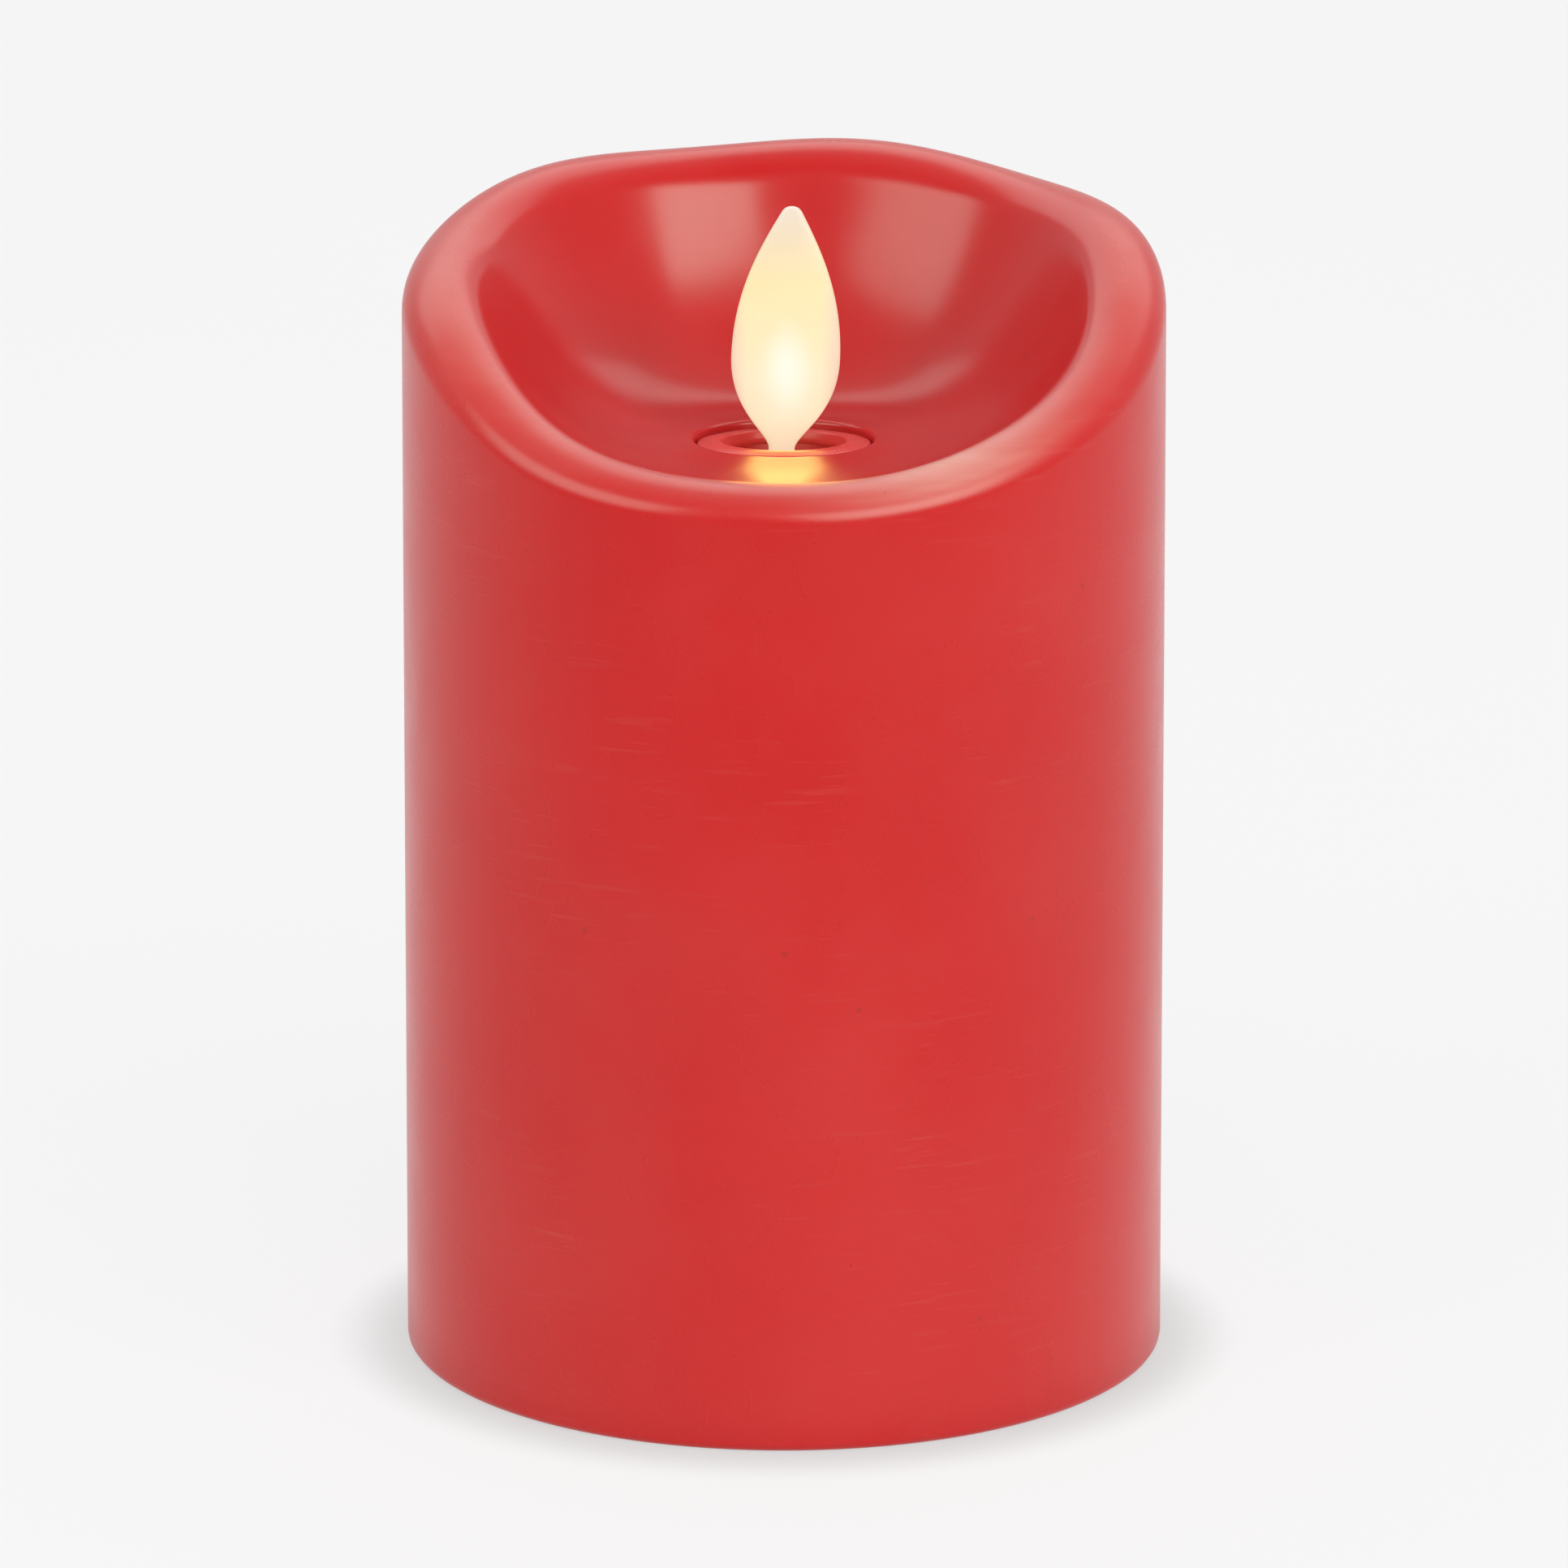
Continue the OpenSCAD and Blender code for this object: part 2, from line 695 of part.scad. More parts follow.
module cell_contact() {
    color("silver")
        difference() {
            union() {
                translate([-cell_x, bay_y, cell_top_z]) cylinder(r = 4.5, h = contact_t);
                for (s = two)
                    translate([s * contact_leg_x - cell_x, bay_y, 0])
                        box(-contact_leg_w / 2, contact_leg_w / 2, -2, 2, cell_top_z, roof_z);
            }
            translate([-cell_x, bay_y, cell_top_z - 1]) cylinder(r = 0.8, h = 3);
        }
}

module cell_spring() {
    color("silver") {
        translate([cell_x, bay_y, cell_top_z])
            coil_spring(2.6, 4.8, roof_z - contact_t - cell_top_z + spring_wire_r);
        translate([cell_x, bay_y, roof_z - contact_t]) cylinder(r = spring_plate_r, h = contact_t);
        box(cell_x + spring_plate_r - 1, cell_x + spring_plate_r, bay_y - 1, bay_y + 1,
            lead_exit_z - 0.6, roof_z);
    }
}

module battery_lead_red() {
    color("red") wire(red_route, lead_r, [0.2, 0.1, 1]);
}

module battery_lead_black() {
    color("#151515") wire(black_route, lead_r, [0.2, 0.1, 1]);
}

// ---- battery door ----

module battery_door() {
    color("darkred")
        difference() {
            union() {
                box(-door_x, door_x, hinge_y, door_y1, base_z, door_top_z);
                translate([-door_x, hinge_y, hinge_z]) along_x() cylinder(r = barrel_r, h = 2 * door_x);
                translate([-door_x - pin_l, hinge_y, hinge_z]) along_x()
                    cylinder(r = pin_r, h = 2 * (door_x + pin_l));
                box(-1.6, 1.6, -0.8, 0.2, door_top_z - eps, 6);
            }
            for (i = [0:4])
                box(-6, 6, -1.4 - i * 0.9, -1 - i * 0.9, base_z - 1, base_z + 0.3);
        }
}

module bridge_contact() {
    color("silver") {
        box(-12.5, 12.5, bay_y - 4, bay_y + 4, door_top_z, door_top_z + contact_t);
        translate([cell_x, bay_y, door_top_z]) cylinder(r1 = 3.4, r2 = 2, h = cell_z - door_gap - door_top_z);
    }
}

module bridge_spring() {
    color("silver")
        translate([-cell_x, bay_y, door_top_z + contact_t])
            coil_spring(4.8, 2.6, cell_z - door_gap - door_top_z - contact_t);
}

wax_shell();
wick_collar();
flame_plate();
flame_magnet();
flame_wire();
housing_left();
housing_right();
housing_screws();
module_screws();
spot_led();
led_clip();
led_leads();
coil_bobbin();
coil_winding();
coil_leads();
base_chassis();
glue_beads();
control_board();
board_screws();
timer_chip();
board_capacitor();
board_resistors();
ir_receiver();
switch_body();
switch_knob();
switch_pins();
switch_screws();
switch_leads();
battery_left();
battery_right();
cell_contact();
cell_spring();
battery_lead_red();
battery_lead_black();
battery_door();
bridge_contact();
bridge_spring();
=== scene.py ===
import bmesh
import bpy
import json
import math
from mathutils import Matrix, Vector, noise

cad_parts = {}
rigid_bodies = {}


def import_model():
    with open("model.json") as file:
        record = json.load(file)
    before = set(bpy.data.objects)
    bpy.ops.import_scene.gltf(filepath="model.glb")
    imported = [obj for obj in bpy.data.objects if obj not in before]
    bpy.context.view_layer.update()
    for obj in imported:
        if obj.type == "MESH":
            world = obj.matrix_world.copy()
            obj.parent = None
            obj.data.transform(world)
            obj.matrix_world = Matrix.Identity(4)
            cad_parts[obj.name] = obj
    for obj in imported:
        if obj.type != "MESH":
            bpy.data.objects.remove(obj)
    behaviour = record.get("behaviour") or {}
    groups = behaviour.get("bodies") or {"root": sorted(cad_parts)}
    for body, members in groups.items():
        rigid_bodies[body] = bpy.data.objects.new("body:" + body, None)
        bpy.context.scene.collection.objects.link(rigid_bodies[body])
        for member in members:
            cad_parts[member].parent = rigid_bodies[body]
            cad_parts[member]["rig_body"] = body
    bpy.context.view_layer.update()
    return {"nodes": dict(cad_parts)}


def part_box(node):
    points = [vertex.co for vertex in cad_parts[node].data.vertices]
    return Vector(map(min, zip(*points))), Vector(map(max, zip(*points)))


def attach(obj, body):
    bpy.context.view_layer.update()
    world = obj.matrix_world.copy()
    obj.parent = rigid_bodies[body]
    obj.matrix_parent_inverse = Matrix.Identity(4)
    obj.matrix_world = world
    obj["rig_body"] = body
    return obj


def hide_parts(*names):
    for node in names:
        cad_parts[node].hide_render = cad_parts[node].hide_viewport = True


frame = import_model()
nodes = frame["nodes"]
mm = 0.001
fullTurn = 2 * math.pi
weld = 1e-6                  # metres, points this near are one
noiseSpan = (0.3, 0.7)       # where nearly all values of a noise texture lie


# small helpers for pieces

def finishPiece(bm, name, replaced, material, smoothAngle=None, outward=True):
    # turns a bmesh into a piece that stands for CAD nodes and rides on their body
    if outward:
        bmesh.ops.recalc_face_normals(bm, faces=bm.faces[:])
    mesh = bpy.data.meshes.new(name)
    bm.to_mesh(mesh)
    bm.free()
    piece = bpy.data.objects.new(name, mesh)
    bpy.context.scene.collection.objects.link(piece)
    mesh.materials.append(material)
    mesh.polygons.foreach_set("use_smooth", [True] * len(mesh.polygons))
    if smoothAngle is not None:
        mesh.set_sharp_from_angle(angle=math.radians(smoothAngle))
    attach(piece, nodes[replaced[0]]["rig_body"])
    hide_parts(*replaced)
    return piece


def turnProfile(bm, points, steps, closed=False, centre=(0, 0, 0), turned=None):
    # spins (radius, height) points in mm a full turn about an upright axis, then closes the seam
    before = set(bm.verts)
    verts = [bm.verts.new((radius * mm, 0, height * mm)) for radius, height in points]
    for first, second in zip(verts, verts[1:]):
        bm.edges.new((first, second))
    if closed:
        bm.edges.new((verts[-1], verts[0]))
    geometry = verts + list({edge for vert in verts for edge in vert.link_edges})
    bmesh.ops.spin(bm, geom=geometry, cent=(0, 0, 0), axis=(0, 0, 1), angle=fullTurn, steps=steps,
                   use_merge=True, use_duplicate=False)
    fresh = [vert for vert in bm.verts if vert not in before]
    bmesh.ops.remove_doubles(bm, verts=fresh, dist=weld)
    fresh = [vert for vert in bm.verts if vert not in before]
    if turned is not None:
        bmesh.ops.transform(bm, matrix=turned, verts=fresh)
    bmesh.ops.translate(bm, vec=centre, verts=fresh)


def arcPoints(centreR, centreZ, radius, start, end, steps):
    # points of a round corner of a profile, angles in degrees
    return [(centreR + radius * math.cos(math.radians(start + (end - start) * i / steps)),
             centreZ + radius * math.sin(math.radians(start + (end - start) * i / steps)))
            for i in range(steps + 1)]


def straightRun(start, end, steps):
    # points of a straight stretch of a profile, without its start
    return [(mixed(start[0], end[0], i / steps), mixed(start[1], end[1], i / steps))
            for i in range(1, steps + 1)]


def mixed(a, b, share):
    return a + (b - a) * share


def clamped(value):
    return min(1.0, max(0.0, value))


# node helpers

def newMaterial(name):
    material = bpy.data.materials.new(name)
    material.use_nodes = True
    tree = material.node_tree
    tree.nodes.clear()
    output = tree.nodes.new("ShaderNodeOutputMaterial")
    shader = tree.nodes.new("ShaderNodeBsdfPrincipled")
    tree.links.new(shader.outputs["BSDF"], output.inputs["Surface"])
    return material, tree, shader


def feed(node, values):
    # links or sets a node's inputs, found by name or number
    for key, value in values.items():
        socket = node.inputs[key]
        if isinstance(value, bpy.types.NodeSocket):
            node.id_data.links.new(value, socket)
        else:
            socket.default_value = value


def addNode(tree, kind, settings=None, **inputs):
    # a node with its properties and inputs, where i0 means the first input and so on
    node = tree.nodes.new(kind)
    for key, value in (settings or {}).items():
        setattr(node, key, value)
    feed(node, {int(key[1:]) if key[0] == "i" and key[1:].isdigit() else key: value
                for key, value in inputs.items()})
    return node


def mathNode(tree, operation, a, b=0.0, clamp=False):
    settings = {"operation": operation, "use_clamp": clamp}
    return addNode(tree, "ShaderNodeMath", settings, i0=a, i1=b).outputs[0]


def times(tree, a, b, clamp=False):
    return mathNode(tree, "MULTIPLY", a, b, clamp)


def mapRange(tree, value, fromMin, fromMax, toMin=0.0, toMax=1.0, smooth=False):
    kind = "SMOOTHSTEP" if smooth else "LINEAR"
    return addNode(tree, "ShaderNodeMapRange", {"interpolation_type": kind}, i0=value, i1=fromMin,
                   i2=fromMax, i3=toMin, i4=toMax).outputs[0]


def spread(tree, value, low=0.0, high=1.0):
    # carries the usual span of a noise to other limits
    return mapRange(tree, value, *noiseSpan, low, high)


def partOf(tree, vector, axis):
    return addNode(tree, "ShaderNodeSeparateXYZ", Vector=vector).outputs[axis]


def lengthOf(tree, vector):
    return addNode(tree, "ShaderNodeVectorMath", {"operation": "LENGTH"}, i0=vector).outputs["Value"]


def glossyRay(tree):
    return addNode(tree, "ShaderNodeLightPath").outputs["Is Glossy Ray"]


def mixColour(tree, factor, a, b, blend="MIX"):
    node = addNode(tree, "ShaderNodeMix", {"data_type": "RGBA", "blend_type": blend}, i0=factor, i6=a, i7=b)
    return node.outputs[2]


def mixValue(tree, factor, a, b):
    return addNode(tree, "ShaderNodeMix", {"data_type": "FLOAT"}, i0=factor, i2=a, i3=b).outputs[0]


def noiseNode(tree, vector, scale, detail=3.0, roughness=0.55, distortion=0.0):
    return addNode(tree, "ShaderNodeTexNoise", Vector=vector, Scale=scale, Detail=detail,
                   Roughness=roughness, Distortion=distortion).outputs[0]


def objectPlace(tree):
    return addNode(tree, "ShaderNodeTexCoord").outputs["Object"]


def mappedPlace(tree, vector, scale, location=(0, 0, 0)):
    return addNode(tree, "ShaderNodeMapping", Vector=vector, Location=location, Scale=scale).outputs[0]


def ramp(tree, value, stops):
    node = addNode(tree, "ShaderNodeValToRGB", Fac=value)
    elements = node.color_ramp.elements
    while len(elements) < len(stops):
        elements.new(0.5)
    for element, (place, colour) in zip(elements, stops):
        element.position = place
        element.color = (*colour, 1)
    return node.outputs["Color"]


def bumpNode(tree, height, strength, distance, normal=None):
    inputs = {"Height": height, "Strength": strength, "Distance": distance}
    if normal is not None:
        inputs["Normal"] = normal
    return addNode(tree, "ShaderNodeBump", **inputs).outputs[0]


def newGroup(name, inputs, outputs):
    tree = bpy.data.node_groups.new(name, "ShaderNodeTree")
    for label, kind, value in inputs:
        socket = tree.interface.new_socket(label, in_out="INPUT", socket_type=kind)
        if value is not None:
            socket.default_value = value
    for label, kind in outputs:
        tree.interface.new_socket(label, in_out="OUTPUT", socket_type=kind)
    entry = tree.nodes.new("NodeGroupInput")
    leave = tree.nodes.new("NodeGroupOutput")
    return tree, entry, leave


def useGroup(tree, group, **inputs):
    return addNode(tree, "ShaderNodeGroup", {"node_tree": group}, **inputs)


# effects that several finishes share

def makeMottle():
    # soft cloudy change of colour, from a slightly darker to a slightly paler tone
    tree, entry, leave = newGroup(
        "cloudyTone",
        [("Vector", "NodeSocketVector", None), ("Colour", "NodeSocketColor", (0.5, 0.5, 0.5, 1)),
         ("Scale", "NodeSocketFloat", 60.0), ("Amount", "NodeSocketFloat", 0.1)],
        [("Colour", "NodeSocketColor"), ("Mask", "NodeSocketFloat")])
    cloud = noiseNode(tree, entry.outputs["Vector"], entry.outputs["Scale"], detail=4.0)
    mask = spread(tree, cloud)
    low = mathNode(tree, "SUBTRACT", 1.0, entry.outputs["Amount"])
    high = mathNode(tree, "ADD", 1.0, entry.outputs["Amount"])
    gain = mixValue(tree, mask, low, high)
    grey = addNode(tree, "ShaderNodeCombineColor", i0=gain, i1=gain, i2=gain).outputs[0]
    tone = mixColour(tree, 1.0, entry.outputs["Colour"], grey, "MULTIPLY")
    feed(leave, {"Colour": tone, "Mask": mask})
    return tree


# patches in which scratches show: their scale beside the scratches', and how sharply they end
scratchPatches = {"scale": 0.21, "edge": 6.0}
wearGaps = (0.35, 0.65)      # span of the noise that breaks up rubbed edges


def makeScratches():
    # thin broken lines where stretched noise crosses its middle value
    tree, entry, leave = newGroup(
        "fineScratches",
        [("Vector", "NodeSocketVector", None), ("Scale", "NodeSocketFloat", 1.0),
         ("Width", "NodeSocketFloat", 0.02), ("Cover", "NodeSocketFloat", 0.5)],
        [("Mask", "NodeSocketFloat")])
    lines = noiseNode(tree, entry.outputs["Vector"], entry.outputs["Scale"], detail=2.0)
    away = mathNode(tree, "ABSOLUTE", mathNode(tree, "SUBTRACT", lines, 0.5))
    away = mathNode(tree, "DIVIDE", away, entry.outputs["Width"])
    line = mathNode(tree, "SUBTRACT", 1.0, away, clamp=True)
    patchScale = times(tree, entry.outputs["Scale"], scratchPatches["scale"])
    patch = noiseNode(tree, entry.outputs["Vector"], patchScale, detail=1.0)
    start = mathNode(tree, "SUBTRACT", 1.0, entry.outputs["Cover"])
    shown = times(tree, mathNode(tree, "SUBTRACT", patch, start), scratchPatches["edge"], clamp=True)
    feed(leave, {"Mask": times(tree, line, shown)})
    return tree


def makeSpecks():
    # scattered small dots of dust and tiny pits
    tree, entry, leave = newGroup(
        "dustSpecks",
        [("Vector", "NodeSocketVector", None), ("Scale", "NodeSocketFloat", 900.0),
         ("Size", "NodeSocketFloat", 0.12), ("Cover", "NodeSocketFloat", 0.2)],
        [("Mask", "NodeSocketFloat")])
    cells = addNode(tree, "ShaderNodeTexVoronoi", Vector=entry.outputs["Vector"],
                    Scale=entry.outputs["Scale"])
    dot = mathNode(tree, "LESS_THAN", cells.outputs["Distance"], entry.outputs["Size"])
    pick = addNode(tree, "ShaderNodeSeparateColor", i0=cells.outputs["Color"]).outputs[0]
    chosen = mathNode(tree, "LESS_THAN", pick, entry.outputs["Cover"])
    feed(leave, {"Mask": times(tree, dot, chosen)})
    return tree


def makeEdgeWear():
    # rubbed mask on outward corners
    tree, entry, leave = newGroup(
        "rubbedEdges",
        [("Vector", "NodeSocketVector", None), ("Scale", "NodeSocketFloat", 300.0),
         ("Start", "NodeSocketFloat", 0.52), ("Width", "NodeSocketFloat", 0.08)],
        [("Mask", "NodeSocketFloat")])
    corner = addNode(tree, "ShaderNodeNewGeometry").outputs["Pointiness"]
    broken = noiseNode(tree, entry.outputs["Vector"], entry.outputs["Scale"], detail=3.0)
    raised = mathNode(tree, "SUBTRACT", corner, entry.outputs["Start"])
    edge = mathNode(tree, "DIVIDE", raised, entry.outputs["Width"], clamp=True)
    feed(leave, {"Mask": times(tree, edge, mapRange(tree, broken, *wearGaps), clamp=True)})
    return tree


cloudyTone = makeMottle()
fineScratches = makeScratches()
dustSpecks = makeSpecks()
rubbedEdges = makeEdgeWear()
print("shared effects ready")


def clouded(tree, place, look, base):
    return useGroup(tree, cloudyTone, Vector=place, Colour=base, Scale=look["cloudScale"],
                    Amount=look["cloudAmount"]).outputs["Colour"]


def speckled(tree, place, look, base):
    # the colour under its specks, and the specks' mask
    mask = useGroup(tree, dustSpecks, Vector=place, Scale=look["speckScale"], Size=look["speckSize"],
                    Cover=look["speckCover"]).outputs["Mask"]
    return mixColour(tree, times(tree, mask, look["speckShare"]), base, (*look["speckColour"], 1)), mask


def scratched(tree, place, look, normal=None):
    mask = useGroup(tree, fineScratches, Vector=place, Scale=look["scratchScale"], Width=look["scratchWidth"],
                    Cover=look["scratchCover"]).outputs["Mask"]
    return bumpNode(tree, mask, look["scratchStrength"], -look["scratchDepth"], normal)


# finishes

def waxFinish(name, look):
    material, tree, shader = newMaterial(name)
    place = objectPlace(tree)
    pale = (*look["paleColour"], 1)
    # three zones by distance from the middle: the deep bowl, painted a little darker as shade and with a
    # painted haze of reflection; the crest of the rim, whitened by bloom and a painted sheen; the outside
    radius = lengthOf(tree, mappedPlace(tree, place, (1.0, 1.0, 0.0)))
    deep = mapRange(tree, radius, look["deepR"], look["shallowR"], 1.0, 0.0, smooth=True)
    crest = times(tree, mapRange(tree, radius, look["shallowR"], look["crestR"], smooth=True),
                  mapRange(tree, radius, look["crestR"], look["outsideR"], 1.0, 0.0, smooth=True))
    zoned = mixColour(tree, deep, (*look["colour"], 1), (*look["deepColour"], 1))
    tone = clouded(tree, place, look, zoned)
    around = mappedPlace(tree, place, look["aroundStretch"])
    streaks = mapRange(tree, noiseNode(tree, around, 1.0, detail=2.0), *look["streakSpan"])
    patches = mapRange(tree, noiseNode(tree, place, look["patchScale"], detail=2.0), *look["patchSpan"])
    outside = mapRange(tree, radius, look["crestR"], look["outsideR"])
    rubs = times(tree, times(tree, streaks, patches), outside)
    bloom = mapRange(tree, noiseNode(tree, place, look["bloomScale"], detail=5.0), *look["bloomSpan"])
    # painted sheen on the crest, mixed with wax bloom: the top of the rim is whitened where light falls on it
    whitened = times(tree, mathNode(tree, "ADD", bloom, look["crestLeast"]), crest)
    bloomAndSheen = mathNode(tree, "ADD", times(tree, bloom, look["bloomAmount"]),
                    times(tree, whitened, look["crestBloomAndSheen"]))
    # the belt of the lip painted pale: a painted sheen of the light it catches, strongest at the front right,
    # with some fibrous wax bloom
    lipBloomAndSheen = addNode(tree, "ShaderNodeAttribute", {"attribute_name": "lipBloomAndSheen"}).outputs["Fac"]
    fibres = spread(tree, noiseNode(tree, around, look["fibreScale"], detail=4.0), *look["fibreSpan"])
    bloomAndSheen = mathNode(tree, "ADD", bloomAndSheen, times(tree, lipBloomAndSheen, fibres), clamp=True)
    paledByBloomAndSheen = mixColour(tree, bloomAndSheen, tone, pale)
    scuffed = mixColour(tree, times(tree, rubs, look["scuffColour"]), paledByBloomAndSheen, pale)
    dusted, specks = speckled(tree, place, look, scuffed)
    smear = noiseNode(tree, place, look["smearScale"], detail=4.0, distortion=look["smearTwist"])
    gloss = spread(tree, smear, look["roughLow"], look["roughHigh"])
    gloss = mathNode(tree, "ADD", gloss, times(tree, lipBloomAndSheen, look["lipRough"]))
    gloss = mixValue(tree, mapRange(tree, radius, look["shallowR"], look["crestR"], 1.0, 0.0), gloss,
                     times(tree, gloss, look["bowlGloss"]))
    lined = mathNode(tree, "ADD", gloss, times(tree, rubs, look["rubRough"]), clamp=True)
    soft = bumpNode(tree, noiseNode(tree, place, look["waveScale"], detail=2.0), 1.0, look["waveHeight"])
    rings = noiseNode(tree, around, look["ringScale"], detail=4.0)
    ringed = bumpNode(tree, rings, 1.0, look["ringHeight"], soft)
    rubbed = bumpNode(tree, rubs, look["rubStrength"], -look["scratchDepth"], ringed)
    pitted = bumpNode(tree, specks, look["pitStrength"], look["scratchDepth"], rubbed)
    feed(shader, {"Base Color": dusted, "Roughness": lined, "Normal": pitted, "IOR": look["ior"],
                  "Specular Tint": (*look["shine"], 1), "Subsurface Weight": look["depthShare"],
                  "Subsurface Radius": look["depthReach"], "Subsurface Scale": look["depth"]})
    return material


plastic = {
    "cloudScale": 90.0, "cloudAmount": 0.06,
    "wearScale": 420.0, "wearStart": 0.52, "wearWidth": 0.1, "wornLift": 0.03,
    "speckScale": 1100.0, "speckSize": 0.13, "speckCover": 0.07, "speckShare": 0.25,
    "speckColour": (0.55, 0.53, 0.5),
    "handledScale": 140.0, "smoother": 0.07, "rougher": 0.1,
    "grainScale": 2600.0, "grainStrength": 0.7,
    "scratchScale": 260.0, "scratchWidth": 0.012, "scratchCover": 0.4, "scratchStrength": 0.5,
    "scratchDepth": 0.01 * mm, "ior": 1.49, "depth": 0.8 * mm,
}


def plasticFinish(name, colour, rough=0.45, grain=0.012, wear=0.25, paleness=1.35, sub=0.0):
    material, tree, shader = newMaterial(name)
    place = objectPlace(tree)
    tone = clouded(tree, place, plastic, (*colour, 1))
    worn = useGroup(tree, rubbedEdges, Vector=place, Scale=plastic["wearScale"], Start=plastic["wearStart"],
                    Width=plastic["wearWidth"])
    pale = tuple(min(1.0, channel * paleness + plastic["wornLift"]) for channel in colour)
    edged = mixColour(tree, times(tree, worn.outputs["Mask"], wear), tone, (*pale, 1))
    dusted, _ = speckled(tree, place, plastic, edged)
    handled = noiseNode(tree, place, plastic["handledScale"], detail=4.0)
    gloss = spread(tree, handled, rough - plastic["smoother"], rough + plastic["rougher"])
    sparkle = noiseNode(tree, place, plastic["grainScale"], detail=2.0)
    grained = bumpNode(tree, sparkle, plastic["grainStrength"], grain * mm)
    feed(shader, {"Base Color": dusted, "Roughness": gloss, "IOR": plastic["ior"],
                  "Normal": scratched(tree, place, plastic, grained),
                  "Subsurface Weight": sub, "Subsurface Scale": plastic["depth"]})
    return material


metal = {
    "patchScale": 220.0, "patchSpan": (0.45, 0.75), "lineShare": 0.2, "lineDark": 0.7,
    "smoother": 0.06, "rougher": 0.08, "patchRough": 0.15, "lineStrength": 0.35, "lineDepth": 0.006 * mm,
}


def metalFinish(name, colour, rough=0.28, stretch=(300.0, 300.0, 6000.0), tarnish=0.25,
                dullColour=(0.3, 0.27, 0.24)):
    material, tree, shader = newMaterial(name)
    place = objectPlace(tree)
    lines = noiseNode(tree, mappedPlace(tree, place, stretch), 1.0, detail=3.0)
    patch = mapRange(tree, noiseNode(tree, place, metal["patchScale"], detail=5.0), *metal["patchSpan"])
    tone = mixColour(tree, times(tree, patch, tarnish), (*colour, 1), (*dullColour, 1))
    dark = tuple(channel * metal["lineDark"] for channel in colour)
    streaked = mixColour(tree, times(tree, lines, metal["lineShare"]), tone, (*dark, 1))
    even = spread(tree, lines, rough - metal["smoother"], rough + metal["rougher"])
    uneven = mathNode(tree, "ADD", even, times(tree, patch, metal["patchRough"]), clamp=True)
    feed(shader, {"Base Color": streaked, "Roughness": uneven, "Metallic": 1.0,
                  "Normal": bumpNode(tree, lines, metal["lineStrength"], metal["lineDepth"])})
    return material


def flameFinish(name, look):
    # ivory sheet whose lamp light is painted in as glow: brightest where the lamp's beam meets it, paler and
    # cooler towards its tip, dimmer and greyer towards its edges as painted shade
    material, tree, shader = newMaterial(name)
    place = objectPlace(tree)
    height = mapRange(tree, partOf(tree, place, "Z"), look["lowZ"], look["highZ"])
    glow = ramp(tree, height, look["glowStops"])
    away = addNode(tree, "ShaderNodeVectorMath", {"operation": "DISTANCE"},
                   i0=mappedPlace(tree, place, (1.0, 0.0, look["hotSquash"])),
                   i1=(look["hotX"], 0.0, look["hotZ"] * look["hotSquash"])).outputs["Value"]
    hot = mapRange(tree, away, 0.0, look["hotReach"], 1.0, 0.0, smooth=True)
    across = mathNode(tree, "ABSOLUTE", partOf(tree, place, "X"))
    # painted shade: the glow turns dimmer and greyer towards the sheet's edges
    outer = mapRange(tree, across, look["rimStart"], look["rimEnd"], smooth=True)
    edged = mixColour(tree, times(tree, outer, look["edgeShadeShare"]), glow, (*look["edgeShadeColour"], 1))
    lit = mixColour(tree, hot, edged, (*look["hotColour"], 1))
    grain = noiseNode(tree, place, look["grainScale"], detail=3.0)
    uneven = mixColour(tree, spread(tree, grain, 0.0, look["shadeShare"]), lit, (*look["shadeColour"], 1))
    # the wax in front mirrors the sheet's lit side, which is yellower than its look from here
    shown = mixColour(tree, glossyRay(tree), uneven, (*look["mirrored"], 1))
    feed(shader, {"Base Color": clouded(tree, place, look, (*look["colour"], 1)),
                  "Roughness": spread(tree, grain, *look["rough"]),
                  "Normal": bumpNode(tree, grain, look["grainStrength"], look["grainDepth"]),
                  "Emission Color": shown, "Emission Strength": look["glow"], "IOR": look["ior"]})
    return material


lamp = {
    "cloudScale": 500.0, "pale": (0.95, 0.86, 0.6), "warm": (0.85, 0.72, 0.42),
    "glowLow": (1.0, 0.74, 0.32), "glowHigh": (1.0, 0.84, 0.5), "glow": 8.0,
    "rough": (0.08, 0.16), "strength": 0.1, "depth": 0.01 * mm, "coat": 0.6,
}


def lampFinish(name):
    material, tree, shader = newMaterial(name)
    cloud = noiseNode(tree, objectPlace(tree), lamp["cloudScale"], detail=3.0)
    feed(shader, {"Base Color": mixColour(tree, cloud, (*lamp["pale"], 1), (*lamp["warm"], 1)),
                  "Emission Color": mixColour(tree, cloud, (*lamp["glowLow"], 1), (*lamp["glowHigh"], 1)),
                  "Emission Strength": lamp["glow"], "Roughness": spread(tree, cloud, *lamp["rough"]),
                  "Normal": bumpNode(tree, cloud, lamp["strength"], lamp["depth"]),
                  "Coat Weight": lamp["coat"]})
    return material


board = {
    "grid": (420.0, 1.0, 420.0), "uneven": 0.85, "trackWidth": 0.09, "trackShare": 0.7,
    "colour": (0.02, 0.17, 0.07), "trackColour": (0.06, 0.33, 0.12), "cloudScale": 200.0,
    "cloudAmount": 0.12, "sheenScale": 300.0, "rough": (0.22, 0.38), "strength": 0.6,
    "depth": 0.03 * mm, "coat": 0.3,
}


